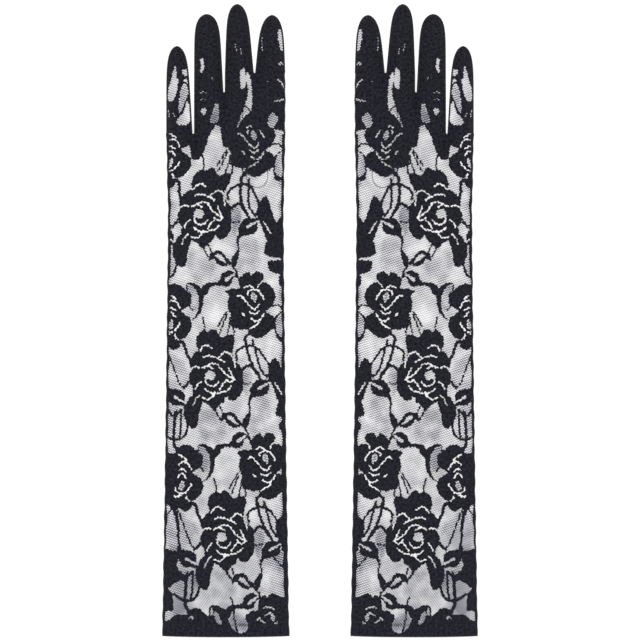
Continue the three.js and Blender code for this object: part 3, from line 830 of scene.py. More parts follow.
# %% The pattern on a grid, for the back and for the palm
GRID_STEPS = {"back": 0.7, "palm": 1.0}
GRID_HALF = 57.0
GRID_START, GRID_END = -1.0, 552.0


def grid_lines(start, end, step):
    x_line = np.arange(-GRID_HALF, GRID_HALF + step, step)
    return {"x": x_line, "y": np.arange(start, end, step), "step": step}


def lace_grid(step, gaps):
    grid = grid_lines(GRID_START, GRID_END + step, step)
    x, y = np.meshgrid(grid["x"], grid["y"])
    drawn = draw_glove_lace(x.ravel(), y.ravel(), gaps)
    for knit, field in zip(KNITS, drawn):
        grid[knit] = field.reshape(x.shape)
    return grid


GRIDS = {layer: lace_grid(step, GAPS[layer]) for layer, step in GRID_STEPS.items()}
for layer, grid in GRIDS.items():
    print(layer, grid["dark"].size, "places,", round(float((grid["dark"] > 0).mean()), 2), "dark knit")

# %% [markdown]
# Marching squares turns a field into cloth. Each little square of the grid is kept, dropped or cut
# along the line where the field is zero. The cut pieces get an outer face, an inner face and a rim, so
# each flower is a thin closed solid that stands up from the net and thins out towards its edge, as a
# knitted motif does.

# %% Corners of the grid and crossings between them
CUTS = {  # corners 0 to 3 and edge points 4 to 7, anticlockwise, for each set of corners inside
    1: [[0, 4, 7]], 2: [[4, 1, 5]], 3: [[0, 1, 5, 7]], 4: [[5, 2, 6]], 5: [[0, 4, 7], [5, 2, 6]],
    6: [[4, 1, 2, 6]], 7: [[0, 1, 2, 6, 7]], 8: [[7, 6, 3]], 9: [[0, 4, 6, 3]],
    10: [[4, 1, 5], [7, 6, 3]], 11: [[0, 1, 5, 6, 3]], 12: [[7, 5, 2, 3]],
    13: [[0, 4, 5, 2, 3]], 14: [[4, 1, 2, 3, 7]], 15: [[0, 1, 2, 3]],
}
FIRST_CROSSING = 4


def crossing(before, after):
    """The share of the way from one corner to the next at which the field is zero."""
    change = before - after
    share = np.where(abs(change) > 1e-9, before / np.where(change == 0, 1, change), 0.5)
    return np.clip(share, 0.03, 0.97)


def cut_places(grid, field):
    """Points (x, y, depth inside): the corners, then the flat crossings, then the upright ones."""
    x, y = np.meshgrid(grid["x"], grid["y"])
    total = field.size
    places = np.zeros((3 * total, 3))
    places[:total] = np.stack([x.ravel(), y.ravel(), np.maximum(field.ravel(), 0)], 1)
    right = crossing(field[:, :-1], field[:, 1:])
    flat = total + np.arange(total).reshape(field.shape)[:, :-1]
    places[flat.ravel(), 0] = (x[:, :-1] + right * grid["step"]).ravel()
    places[flat.ravel(), 1] = y[:, :-1].ravel()
    up = crossing(field[:-1], field[1:])
    tall = 2 * total + np.arange(total).reshape(field.shape)[:-1]
    places[tall.ravel(), 0] = x[:-1].ravel()
    places[tall.ravel(), 1] = (y[:-1] + up * grid["step"]).ravel()
    return places


print("ways to cut a square:", len(CUTS))


# %% Cutting cloth along a field
def square_points(rows, columns):
    """The numbers of each square's four corners and of the crossings on its four sides."""
    total = rows * columns
    row, column = np.meshgrid(np.arange(rows - 1), np.arange(columns - 1), indexing="ij")
    corner = (row * columns + column).ravel()
    return np.stack([
        corner, corner + 1, corner + columns + 1, corner + columns,
        total + corner, 2 * total + corner + 1, total + corner + columns, 2 * total + corner,
    ], 1)


def cut_cloth(grid, field):
    """Points (x, y, depth inside), faces by number of corners, and the rim's edges."""
    places = cut_places(grid, field)
    squares = square_points(*field.shape)
    inside = (field > 0).ravel()
    kind = sum(inside[squares[:, i]].astype(int) << i for i in range(FIRST_CROSSING))
    faces, rim = {3: [], 4: [], 5: []}, []
    for case, polygons in CUTS.items():
        cells = squares[kind == case]
        for polygon in polygons:
            faces[len(polygon)].append(cells[:, polygon])
            for a, b in zip(polygon, polygon[1:] + polygon[:1]):
                if a >= FIRST_CROSSING and b >= FIRST_CROSSING:
                    rim.append(cells[:, [a, b]])
    faces = {size: np.concatenate(parts) for size, parts in faces.items()}
    used = np.unique(np.concatenate([f.ravel() for f in faces.values()]))
    lookup = np.full(len(places), -1)
    lookup[used] = np.arange(len(used))
    faces = {size: lookup[f] for size, f in faces.items()}
    return places[used], faces, lookup[np.concatenate(rim)]


print("squares in the back's grid:", len(square_points(*GRIDS["back"]["dark"].shape)))

# %% [markdown]
# Points become a mesh in one go. The glove's millimetres turn into metres here, and the right glove
# is mirrored, which also turns its faces round so that they still look outward. Every point keeps its
# place on the glove as its UV, in millimetres, so the weave follows the cloth when it folds.

# %% From points to a mesh
def mirrored(side):
    return 1 if side == "left" else -1


def mesh_object(side, name, points, faces, uv, outward=True):
    """points in the glove's millimetres, faces a list of arrays, uv one pair for each point."""
    direction = mirrored(side)
    world = np.array(points, float) / 1000
    world[:, 0] = direction * (world[:, 0] - PAIR_HALF)
    world[:, 1] += OPENING
    faces = [np.asarray(f) for f in faces if len(f)]
    if (direction > 0) != outward:
        faces = [f[:, ::-1] for f in faces]
    mesh = bpy.data.meshes.new(f"{side}_{name}")
    mesh.vertices.add(len(world))
    mesh.vertices.foreach_set("co", world.astype(np.float32).ravel())
    corners = np.concatenate([f.ravel() for f in faces]).astype(np.int32)
    sizes = np.concatenate([np.full(len(f), f.shape[1]) for f in faces])
    mesh.loops.add(len(corners))
    mesh.loops.foreach_set("vertex_index", corners)
    mesh.polygons.add(len(sizes))
    starts = np.concatenate([[0], np.cumsum(sizes)[:-1]]).astype(np.int32)
    mesh.polygons.foreach_set("loop_start", starts)
    mesh.polygons.foreach_set("use_smooth", np.ones(len(sizes), bool))
    layer = mesh.uv_layers.new(name="cloth")
    layer.data.foreach_set("uv", np.asarray(uv, np.float32)[corners].ravel())
    mesh.update(calc_edges=True)
    mesh.validate()
    made = bpy.data.objects.new(mesh.name, mesh)
    bpy.context.scene.collection.objects.link(made)
    return made


def sewn_together(parts, name):
    """The parts as one mesh with one name."""
    bpy.ops.object.select_all(action="DESELECT")
    for part in parts:
        part.select_set(True)
    bpy.context.view_layer.objects.active = parts[0]
    bpy.ops.object.join()
    parts[0].name = name
    return parts[0]


print("left glove's middle at x", round(-PAIR_HALF, 4), "right glove's at", round(PAIR_HALF, 4))

# %% Lace: raised flowers on the net
NET_TO_LACE = 0.06
EDGE_THICKNESS = 0.14
LACE_THICKNESS = 0.42
THICKENING = 1.6  # mm in from a flower's edge, where it has its full thickness


def lace_piece(side, name, grid, region, height, facing):
    """Flowers over the region, standing up from the net at height(x, y) on its outer side."""
    x, y = np.meshgrid(grid["x"], grid["y"])
    field = np.minimum(grid["dark"], region(x, y))
    places, faces, rim = cut_cloth(grid, field)
    net = height(places[:, 0], places[:, 1])
    rise = EDGE_THICKNESS + (LACE_THICKNESS - EDGE_THICKNESS) * smooth(0, THICKENING, places[:, 2])
    low = np.stack([places[:, 0], places[:, 1], net + facing * NET_TO_LACE], 1)
    high = np.stack([places[:, 0], places[:, 1], net + facing * (NET_TO_LACE + rise)], 1)
    count = len(places)
    outer = [f + count for f in faces.values()]
    inner = [f[:, ::-1] for f in faces.values()]
    rims = np.stack([rim[:, 0], rim[:, 1], rim[:, 1] + count, rim[:, 0] + count], 1)
    points = np.concatenate([low, high])
    uv = np.concatenate([places[:, :2], places[:, :2]])
    return mesh_object(side, name, points, outer + inner + [rims], uv, outward=facing > 0)


print("lace", EDGE_THICKNESS, "to", LACE_THICKNESS, "mm thick,", NET_TO_LACE, "mm off the net")

# %% [markdown]
# ## The net ground
#
# The ground is knitted from very fine thread, which could be modelled only as millions of loops. So
# it is a sheet, a grid of points that follows the bow of the panel, and its material lets the light
# through between its threads. Where the pattern has pale leaves the knitting is closer, between the
# petals of a rose it is very open, and the turned-in cloth beside the seams is double. By the arm
# opening the net is drawn darker in waves, a painted shade of crumpled cloth. All of this is one
# number at each point, which the material reads as how close the knitting is.

# %% How close the knitting is, and the painted shade by the arm opening
GREY_SHARE = 0.45  # closeness of the grey ground
ROSE_SHARE = -1.0  # of the ground between petals, which is more open than plain net
OPENING_SHADE = 0.35  # of the ground by the arm opening: painted shade of crumpled cloth, on a sheet that lies smooth
OPENING_SHADE_ENDS = (10.0, 130.0)


def closeness_and_shade(x, y):
    """How close the knit is, plus painted shade by the opening: 0 plain net, 1 close, -1 very open."""
    grid = GRIDS["back"]
    column = np.clip((x - grid["x"][0]) / grid["step"], 0, len(grid["x"]) - 1)
    row = np.clip((y - grid["y"][0]) / grid["step"], 0, len(grid["y"]) - 1)
    spot = (row.round().astype(int), column.round().astype(int))
    pale, grey, rose = [grid[knit][spot] for knit in KNITS[1:]]
    # Painted shade by the arm opening: the net is drawn darker there, in waves, standing in for the
    # shade of crumpled cloth, though the sheet lies smooth. low is that shade.
    crumple_shade = 0.6 + 0.4 * np.sin(x / 7 + 1.5 * np.sin(y / 19))
    low = OPENING_SHADE * (1 - smooth(*OPENING_SHADE_ENDS, y)) * crumple_shade
    close_and_shade = np.maximum(smooth(-0.5, 0.5, pale), np.maximum(GREY_SHARE * smooth(-1.5, 1.5, grey), low))
    return np.where(pale > 0, close_and_shade, close_and_shade + (ROSE_SHARE - close_and_shade) * smooth(0.5, 2.5, rose))


print("closeness beside the middle rose's eye:", closeness_and_shade(np.array([-13.0]), np.array([214.0])))

# %% Net sheets
NET_STEP = 1.6
NET_INSET = 0.7


def rows_between(low, high):
    return np.linspace(low, high, max(2, int(round((high - low) / NET_STEP)) + 1))


def sheet_grid(rows_y, edges, columns):
    """Rows of points from the left to the right of edges(y), and the squares between them."""
    left, right = edges(rows_y)
    share = np.linspace(0, 1, columns + 1)
    x = left[:, None] + (right - left)[:, None] * share[None, :]
    y = np.repeat(rows_y[:, None], columns + 1, 1)
    row, column = np.meshgrid(np.arange(len(rows_y) - 1), np.arange(columns), indexing="ij")
    corner = (row * (columns + 1) + column).ravel()
    faces = np.stack([corner, corner + 1, corner + columns + 2, corner + columns + 1], 1)
    return np.stack([x.ravel(), y.ravel()], 1), faces


def net_sheet(side, name, rows_y, edges, height, facing):
    """A sheet with one row of points for each y, from the left to the right of edges(y)."""
    left, right = edges(rows_y)
    columns = max(4, int(round((right - left).max() / NET_STEP)))
    places, faces = sheet_grid(rows_y, edges, columns)
    level = height(places[:, 0], places[:, 1])
    points = np.concatenate([places, level[:, None]], 1)
    made = mesh_object(side, name, points, [faces], places, outward=facing > 0)
    layer = made.data.attributes.new("closeness_and_shade", "FLOAT", "POINT")
    layer.data.foreach_set("value", closeness_and_shade(places[:, 0], places[:, 1]).astype(np.float32))
    return made


print("rows in a net as long as the arm's pieces:", len(rows_between(0, PIECE_JOIN)))

# %% [markdown]
# ## Seams
#
# The panels are joined by overlocking: thread wrapped over the two raw edges, which leaves a small
# rounded ridge with a regular ripple. A bump on a plain edge would vanish from the side. So a real
# ridge is swept along each seam line, with a ripple for every few wraps of the thread.

# %% A ridge swept along a seam
SEAM_HALF = 0.72
SEAM_HEIGHT = 1.9
SEAM_CLEAR = 0.12  # of the ridge's height, that it lies over the floor
STITCH = 2.3
RIPPLE = 0.13
AROUND = 8


def way_of(path, closed):
    """The direction of the path at each point, seen from above."""
    if closed:
        tangent = np.roll(path, -1, 0) - np.roll(path, 1, 0)
    else:
        tangent = np.gradient(path, axis=0)
    return tangent[:, :2] / np.linalg.norm(tangent[:, :2], axis=1)[:, None]


def seam_ridge(side, name, path, closed=False, half=SEAM_HALF, height=SEAM_HEIGHT):
    """path is the seam's middle line, as rows of x, y and the height that it lies on."""
    path = np.asarray(path, float)
    tangent = way_of(path, closed)
    across = np.stack([tangent[:, 1], -tangent[:, 0]], 1)
    steps = np.linalg.norm(np.diff(path, axis=0), axis=1)
    along = np.concatenate([[0], np.cumsum(steps)])
    ripple = 1 + RIPPLE * np.sin(2 * np.pi * along / STITCH)
    turn = 2 * np.pi * np.arange(AROUND) / AROUND
    out = half * ripple[:, None] * np.cos(turn)[None, :]
    up = height / 2 * ripple[:, None] * np.sin(turn)[None, :] + height / 2 + SEAM_CLEAR * height
    points = np.stack([
        path[:, 0:1] + across[:, 0:1] * out,
        path[:, 1:2] + across[:, 1:2] * out,
        path[:, 2:3] + up,
    ], 2).reshape(-1, 3)
    count = len(path)
    rings = count if closed else count - 1
    ring, spot = np.meshgrid(np.arange(rings), np.arange(AROUND), indexing="ij")
    after, beside = (ring + 1) % count, (spot + 1) % AROUND
    faces = np.stack([
        ring * AROUND + spot, ring * AROUND + beside, after * AROUND + beside, after * AROUND + spot,
    ], 2).reshape(-1, 4)
    caps = []
    if not closed:
        caps = [np.arange(AROUND)[None, ::-1], (count - 1) * AROUND + np.arange(AROUND)[None, :]]
    uv = np.stack([np.repeat(along, AROUND), np.tile(turn, count)], 1)
    return mesh_object(side, name, points, [faces] + caps, uv, outward=False)


def even_steps(path, step):
    """The same path with points an even step apart."""
    lengths = np.linalg.norm(np.diff(path, axis=0), axis=1)
    along = np.concatenate([[0], np.cumsum(lengths)])
    spots = np.linspace(0, along[-1], int(along[-1] / step) + 1)
    return np.stack([np.interp(spots, along, path[:, i]) for i in range(path.shape[1])], 1)


print("seam ridge", 2 * SEAM_HALF, "mm wide and", SEAM_HEIGHT, "mm high")

# %% [markdown]
# ## Materials
#
# All are black yarn. What differs is how much light gets through and how it catches the light: the
# net is mostly holes, the flowers are matt with a fine rib, and the seams are wrapped thread. All are
# worked out from the place on the cloth, so none of them slides when a finger folds.

# %% Small helpers for node materials
def new_material(name):
    material = bpy.data.materials.new(name)
    material.use_nodes = True
    tree = material.node_tree
    return material, tree, tree.nodes["Principled BSDF"]


def node(tree, kind, **settings):
    made = tree.nodes.new(kind)
    for name, value in settings.items():
        setattr(made, name, value)
    return made


def math_node(tree, operation, first, second=None):
    made = node(tree, "ShaderNodeMath", operation=operation)
    for socket, value in zip(made.inputs, (first, second)):
        if value is None:
            continue
        if isinstance(value, (int, float)):
            socket.default_value = value
        else:
            tree.links.new(value, socket)
    return made.outputs[0]


def cloth_place(tree):
    """The cloth's own place in millimetres, split into across and along."""
    place = node(tree, "ShaderNodeUVMap", uv_map="cloth")
    parts = node(tree, "ShaderNodeSeparateXYZ")
    tree.links.new(place.outputs[0], parts.inputs[0])
    return place.outputs[0], parts.outputs[0], parts.outputs[1]


# %% Helpers for unevenness, colour and relief
BUMP_DEPTH = 0.0003


def noise(tree, place, scale, detail=2.0, roughness=0.5):
    made = node(tree, "ShaderNodeTexNoise")
    made.inputs["Scale"].default_value = scale
    made.inputs["Detail"].default_value = detail
    made.inputs["Roughness"].default_value = roughness
    tree.links.new(place, made.inputs["Vector"])
    return made.outputs["Fac"]


def moved(tree, value, before, after=(0.0, 1.0), kind="LINEAR"):
    """A value carried from one range to another."""
    made = node(tree, "ShaderNodeMapRange", interpolation_type=kind)
    for name, end in zip(("From Min", "From Max", "To Min", "To Max"), (*before, *after)):
        made.inputs[name].default_value = end
    tree.links.new(value, made.inputs["Value"])
    return made.outputs[0]


def tint_between(tree, shader, share, first, second):
    tint = node(tree, "ShaderNodeMix", data_type="RGBA")
    tint.inputs["A"].default_value = (*first, 1)
    tint.inputs["B"].default_value = (*second, 1)
    tree.links.new(share, tint.inputs["Factor"])
    tree.links.new(tint.outputs["Result"], shader.inputs["Base Color"])


def raise_by(tree, shader, height, strength):
    bump = node(tree, "ShaderNodeBump")
    bump.inputs["Strength"].default_value = strength
    bump.inputs["Distance"].default_value = BUMP_DEPTH
    tree.links.new(height, bump.inputs["Height"])
    tree.links.new(bump.outputs[0], shader.inputs["Normal"])


# %% [markdown]
# The net's threads lean two ways and cross. Each family is a row of stripes, opaque on the thread and
# clear beside it, and a little loose fuzz fills the holes. Broad cloudy patches make the net thicker in
# places: partly uneven knitting, and partly painted shade. The covers below say how much of the light
# a piece of net stops, over its threads and holes together.

# %% Net: a see-through diamond mesh
NET_COVER = 0.138
PALE_COVER = 0.29
HEM_COVER = 0.07
THREAD_SHARE = 0.5  # of the spacing, that a thread with its fuzz takes
FUZZ_SHARE = 0.2  # of the cover, that is loose fuzz between the threads
THREAD_FAMILIES = (  # lean, mm between threads, and share of the cover
    (0.35, 1.9, 1.25),
    (-1.3, 1.7, 0.75),
)
CLOUD_AND_SHADE_SIZE = 0.07
CLOUD_AND_SHADE_ENDS, CLOUD_AND_SHADE_COVER = (0.3, 0.7), (0.5, 1.5)  # thin and thick places, partly uneven knitting and partly painted shade, and their share of the cover
NET_TINTS = (0.032, 0.032, 0.070), (0.050, 0.050, 0.105)


def thread_family(tree, across, along, lean, spacing):
    """1 on the middle of each thread of a slanted family, falling to 0 between them."""
    slant = math_node(tree, "MULTIPLY", across, lean)
    run = math_node(tree, "ADD", slant, along)
    share = math_node(tree, "DIVIDE", run, spacing * math.hypot(1, lean))
    past = math_node(tree, "FRACT", share)
    away = math_node(tree, "ABSOLUTE", math_node(tree, "SUBTRACT", past, 0.5))
    return moved(tree, away, (THREAD_SHARE / 2, 0.0), kind="SMOOTHSTEP")


def net_material(name, cover):
    material, tree, shader = new_material(name)
    place, across, along = cloth_place(tree)
    threads = 0.0
    for lean, spacing, weight in THREAD_FAMILIES:
        family = thread_family(tree, across, along, lean, spacing)
        part = math_node(tree, "MULTIPLY", family, weight / THREAD_SHARE)
        threads = math_node(tree, "ADD", part, threads)
    # How close the knitting is, with the painted shade by the arm opening.
    close_and_shade = node(tree, "ShaderNodeAttribute", attribute_name="closeness_and_shade").outputs["Fac"]
    extra = math_node(tree, "MULTIPLY", close_and_shade, PALE_COVER - cover)
    base = math_node(tree, "ADD", extra, cover)
    # Broad patches where the net stops more light and its threads are lighter: partly uneven knitting,
    # partly painted shade.
    clouds_and_shade = noise(tree, place, CLOUD_AND_SHADE_SIZE, detail=3.0)
    cloudy_and_shaded = math_node(tree, "MULTIPLY", base, moved(tree, clouds_and_shade, CLOUD_AND_SHADE_ENDS, CLOUD_AND_SHADE_COVER))
    hatch = math_node(tree, "MULTIPLY", threads, 1 - FUZZ_SHARE)
    alpha = math_node(tree, "MULTIPLY", cloudy_and_shaded, math_node(tree, "ADD", hatch, FUZZ_SHARE))
    tree.links.new(math_node(tree, "MINIMUM", alpha, 1.0), shader.inputs["Alpha"])
    tint_between(tree, shader, clouds_and_shade, *NET_TINTS)
    shader.inputs["Roughness"].default_value = 0.8
    shader.inputs["Specular IOR Level"].default_value = 0.25
    return material


NET = net_material("net ground", NET_COVER)
HEM_NET = net_material("turned net", HEM_COVER)
print("net covers", NET_COVER, "of the light, closer knitting", PALE_COVER)

# %% [markdown]
# The flowers are filled with a soft, thick yarn that hardly shines. Its ribs run up the glove and its
# courses across. Both are far too small for the mesh, so they are a bump, and worn and fuzzy places
# are a mottle between two blacks.

# %% Lace: dense black knit with a fine rib
RIB_PACE, COURSE_PACE = 6.5, 5.2
MOTTLE = ((0.38, (0.0010, 0.0010, 0.0030, 1)), (0.66, (0.0240, 0.0240, 0.0360, 1)))


def lace_material():
    material, tree, shader = new_material("lace knit")
    place, across, along = cloth_place(tree)
    rib = math_node(tree, "SINE", math_node(tree, "MULTIPLY", across, RIB_PACE))
    course = math_node(tree, "SINE", math_node(tree, "MULTIPLY", along, COURSE_PACE))
    knit = math_node(tree, "MULTIPLY", rib, course)
    mottle = noise(tree, place, 0.45, detail=5.0, roughness=0.7)
    ramp = node(tree, "ShaderNodeValToRGB")
    for stop, (position, colour) in zip(ramp.color_ramp.elements, MOTTLE):
        stop.position = position
        stop.color = colour
    tree.links.new(mottle, ramp.inputs["Fac"])
    tree.links.new(ramp.outputs["Color"], shader.inputs["Base Color"])
    raise_by(tree, shader, math_node(tree, "ADD", knit, noise(tree, place, 2.4)), 0.45)
    rough = moved(tree, mottle, (0.0, 1.0), (0.72, 0.95))
    tree.links.new(rough, shader.inputs["Roughness"])
    shader.inputs["Specular IOR Level"].default_value = 0.14
    shader.inputs["Sheen Weight"].default_value = 0.03
    shader.inputs["Sheen Roughness"].default_value = 0.5
    return material


LACE = lace_material()
print("lace:", round(2 * math.pi / RIB_PACE, 2), "mm from rib to rib")

# %% [markdown]
# Seam thread is smoother than the yarn and lies in slanting wraps. Each wrap is painted lighter on its
# crown, a painted highlight, and darker in the hollows beside it, a painted shade. The seams of the
# thumb lie under the hand and are sewn with a finer thread, which is partly see-through.

# %% Seams and hem: wrapped thread, and double cloth
WRAP_SLANT = 0.35
# The lighter colours are a painted highlight on the crown of each wrap, the darker ones painted shade
# in the hollows between wraps.
SEAM_HIGHLIGHT, SEAM_SHADE = (0.045, 0.045, 0.058), (0.012, 0.012, 0.016)
HEM_HIGHLIGHT, HEM_SHADE = (0.034, 0.034, 0.046), (0.014, 0.014, 0.019)


# light is a painted highlight on the crown of each wrap, and dark a painted shade in its hollows.
def thread_material(name, pitch, light, dark, alpha=1.0):
    material, tree, shader = new_material(name)
    place, across, along = cloth_place(tree)
    run = math_node(tree, "ADD", across, math_node(tree, "MULTIPLY", along, WRAP_SLANT))
    wrap = math_node(tree, "SINE", math_node(tree, "MULTIPLY", run, 2 * math.pi / pitch))
    crown_highlight = moved(tree, wrap, (-1.0, 1.0))
    share = math_node(tree, "MULTIPLY", crown_highlight, noise(tree, place, 0.5, detail=4.0))
    tint_between(tree, shader, share, dark, light)
    raise_by(tree, shader, wrap, 0.5)
    shader.inputs["Roughness"].default_value = 0.75
    shader.inputs["Specular IOR Level"].default_value = 0.25
    shader.inputs["Alpha"].default_value = alpha
    return material


SEAM = thread_material("seam thread", 0.8, SEAM_HIGHLIGHT, SEAM_SHADE)
SHEER = thread_material("sheer thread", 0.8, SEAM_HIGHLIGHT, SEAM_SHADE, alpha=0.18)
HEM = thread_material("hem cloth", 1.6, HEM_HIGHLIGHT, HEM_SHADE)
print("materials:", [material.name for material in (NET, LACE, SEAM, SHEER, HEM)])

# %% [markdown]
# ## Putting the pieces in place
#
# The solid panels part at the elbow, the wrist, the finger roots and the thumb root. The cloth does
# not: it runs through and bends. An armature with painted weights could bend it, but the joints are
# already in the imported model. Here each piece of cloth gets its material and takes the place of the
# solid panels that it stands for; only the hem and the seam round the thumb hole are set on a body.

# %% How a piece joins the model
MM = 0.001
BENDS = {"arm": ELBOW, "hand": WRIST}
BEND_HALF = 20.0  # how far the cloth's bend reaches each way from the elbow and the wrist
FINGER_BEND = 18.0  # how far it reaches past a finger's root
THUMB_BEND = (0.5, 14.0)


def world_point(side, x, y):
    return (mirrored(side) * (x * MM - PAIR_HALF), y * MM + OPENING, 0.0)


def bend_of(side, part):
    if part == "thumb":
        ends = turn_thumb(np.array([[0.0, along] for along in THUMB_BEND]))
        return [world_point(side, *end) for end in ends]
    if part in BENDS:
        return [world_point(side, 0, BENDS[part] + reach) for reach in (-BEND_HALF, BEND_HALF)]
    finger = FINGERS[part]
    middle = (finger["left"] + finger["right"]) / 2
    return [world_point(side, middle, finger["root"] + reach) for reach in (0.0, FINGER_BEND)]


def attach(piece, side, material, stands_for):
    """Give a piece its material, bake its place into its points, and hide the panels that it stands
    for.
    """
    piece.data.materials.append(material)
    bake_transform(piece)
    if stands_for:
        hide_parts(*[f"{side}_{name}" for name in stands_for])
    return piece


print("the elbow bends between y", [round(end[1], 3) for end in bend_of("left", "arm")])


# %% [markdown]
# ## The regions of a glove
#
# A panel is cut out of the lace before it is sewn. A region is a field too: positive inside the
# panel. The flowers are cut along it, so they stop exactly where the seams are.

# %% Region fields
LACE_INSET = 0.7
LACE_START = 0.4


def arm_region(x, y):
    return np.minimum.reduce([half_width(y) - LACE_INSET - abs(x), y - LACE_START, PIECE_JOIN - y])


def hand_region(x, y):
    steps = [KNUCKLES - y]
    for name in ("ring", "middle"):
        finger = FINGERS[name]
        steps.append(np.minimum(x - finger["left"] - LACE_INSET, finger["root"] - y))
    top = np.maximum.reduce(steps)
    return np.minimum.reduce([half_width(y) - LACE_INSET - abs(x), y - PIECE_JOIN, top])


def outline_region(outline, low):
    def region(x, y):
        field = np.full(x.size, -REACH)
        flat_x, flat_y = x.ravel(), y.ravel()
        at = near(outline, flat_x, flat_y)
        depth, inside = distance_to(outline, flat_x[at], flat_y[at], True)
        field[at] = np.where(inside, depth, -depth)
        return np.minimum(field.reshape(x.shape), low(x, y))

    return region


def finger_region(name):
    outline = round_tip(lambda share: finger_side(name, share), LACE_INSET, reach=6.0)
    return outline_region(outline, lambda x, y: y - FINGERS[name]["root"])


def thumb_region():
    outline = turn_thumb(round_tip(thumb_side, LACE_INSET, reach=6.0))
    return outline_region(outline, lambda x, y: thumb_share(x, y) * THUMB_LENGTH)


middle_of_arm = float(arm_region(np.array(0.0), np.array(ELBOW)))
print("the middle of the arm at the elbow is", round(middle_of_arm, 1), "mm inside its region")

# %% Heights of the two layers, and the flowers on them
BACK_NET = 0.25  # of the net over the underside of the back panel
PALM_NET = 0.62


def back_net(x, y):
    return back_height(x, y) + BACK_NET


def palm_net(x, y):
    return palm_lift(x, y) + PALM_NET


def finger_back_net(name):
    height = finger_height(name)
    return lambda x, y: height(x, y) + BACK_NET


def flat_at(level):
    return lambda x, y: np.full(np.shape(x), level)


def flowers_on(side, part, layer, grid, region, height, facing):
    lace = lace_piece(side, f"{part}_lace_{layer}", grid, region, height, facing)
    return attach(lace, side, LACE, [])


FACES = (("back", back_net, 1), ("palm", palm_net, -1))  # 1 faces up and -1 faces down
print("nets", BACK_NET, "mm inside the back and", PALM_NET, "mm over the floor")

# %% [markdown]
# ## The arm
#
# From the arm opening to half way along the forearm, over the elbow. Back and palm are cut alike from
# the same lace, so the palm's flowers lie under those of the back. A sewn edge is never straight, and
# the seams waver by a third of a millimetre.

# %% Arm pieces
ARM_START = 0.3
SEAM_MIDDLE = 0.75  # from the glove's edge
SEAM_STEP = 0.8
SEAM_WAVERS = (0.20, 2.3), (0.15, 6.7)  # how far, and how long


def side_path(side_sign, low, high):
    y = np.arange(low, high + 0.01, SEAM_STEP)
    (short, short_run), (long, long_run) = SEAM_WAVERS
    waver = short * np.sin(y / short_run) + long * np.sin(y / long_run + side_sign)
    x = side_sign * (half_width(y) - SEAM_MIDDLE + waver)
    return np.stack([x, y, palm_lift(x, y)], 1)


def straight_edges(y):
    return -(half_width(y) - NET_INSET), half_width(y) - NET_INSET


def make_arm(side):
    rows = rows_between(ARM_START, PIECE_JOIN)
    nets, extras = {}, {}
    for layer, height, facing in FACES:
        net = net_sheet(side, f"arm_net_{layer}", rows, straight_edges, height, facing)
        solids = [f"upper_arm_{layer}", f"forearm_{layer}"]
        nets[layer] = attach(net, side, NET, solids)
        extras[layer] = [flowers_on(side, "arm", layer, GRIDS[layer], arm_region, height, facing)]
    for name, sign in (("inner", 1), ("outer", -1)):
        ridge = seam_ridge(side, f"arm_{name}_overlock", side_path(sign, 0.0, PIECE_JOIN))
        solids = [f"upper_arm_{name}_seam", f"forearm_{name}_seam"]
        extras["back"].append(attach(ridge, side, SEAM, solids))
    return nets, extras


print("points along an arm's side seam:", len(side_path(1, 0.0, PIECE_JOIN)))

# %% [markdown]
# The hem is the end of the arm turned in and stitched down, so a band at the opening is double. It
# could be a plain dark tube, but where the ground is plain two layers of net are still light. So the
# turned-in cloth is modelled only under the dark border. A rolled edge closes the opening, and a
# zigzag of thread holds the hem's upper edge.

# %% The turned-in cloth of the hem
HEM_DEPTH = 11.5
HEM_STEP = 0.8
HEM_START = 0.25
HEM_SIDE = 2.2  # from the glove's edge to the turned-in cloth


def hem_grid():
    grid = grid_lines(-HEM_STEP, HEM_DEPTH + 3 * HEM_STEP, HEM_STEP)
    x, y = np.meshgrid(grid["x"], grid["y"])
    top = HEM_DEPTH + 0.5 * np.sin(x / 4.3) + 0.3 * np.sin(x / 1.9)
    border = np.full(x.size, -REACH)
    grow(border, BORDER, x.ravel(), y.ravel())
    for outline in BORDER_PALE:
        open_window(border, outline, x.ravel(), y.ravel())
    sides = half_width(y) - HEM_SIDE - abs(x)
    grid["dark"] = np.minimum.reduce([sides, y - HEM_START, top - y, border.reshape(x.shape)])
    return grid


def everywhere(x, y):
    return np.full(x.shape, 9.0)


print("the hem is", HEM_DEPTH, "mm deep")

# %% Hem at the arm opening
ROLL = 0.62
ROLL_REACH, ROLL_STEP = 54.2, 0.6
ZIGZAG_REACH, ZIGZAG_STEP = 53.0, 0.5
ZIGZAG_DROP, ZIGZAG_SWING = 1.4, 0.7
ZIGZAG_HALF, ZIGZAG_HEIGHT = 0.13, 0.3
ZIGZAG_IN, ZIGZAG_SUNK = 0.18, 0.2  # inside the net, and below that


def hem_zigzag(side, layer, height, facing):
    x = np.arange(-ZIGZAG_REACH, ZIGZAG_REACH + 0.01, ZIGZAG_STEP)
    swing = np.sign(np.sin(np.arange(len(x)) * math.pi / 2 + 0.5))
    y = HEM_DEPTH - ZIGZAG_DROP + ZIGZAG_SWING * swing
    path = np.stack([x, y, height(x, y) - facing * ZIGZAG_IN - ZIGZAG_SUNK], 1)
    return seam_ridge(side, f"hem_thread_{layer}", path, half=ZIGZAG_HALF, height=ZIGZAG_HEIGHT)


def hem_roll(side, layer, height):
    x = np.arange(-ROLL_REACH, ROLL_REACH + 0.01, ROLL_STEP)
    level = height(x, np.full(x.shape, ARM_START)) - ROLL
    path = np.stack([x, np.full(x.shape, ROLL), level], 1)
    return seam_ridge(side, f"hem_roll_{layer}", path, half=ROLL, height=1.5 * ROLL)


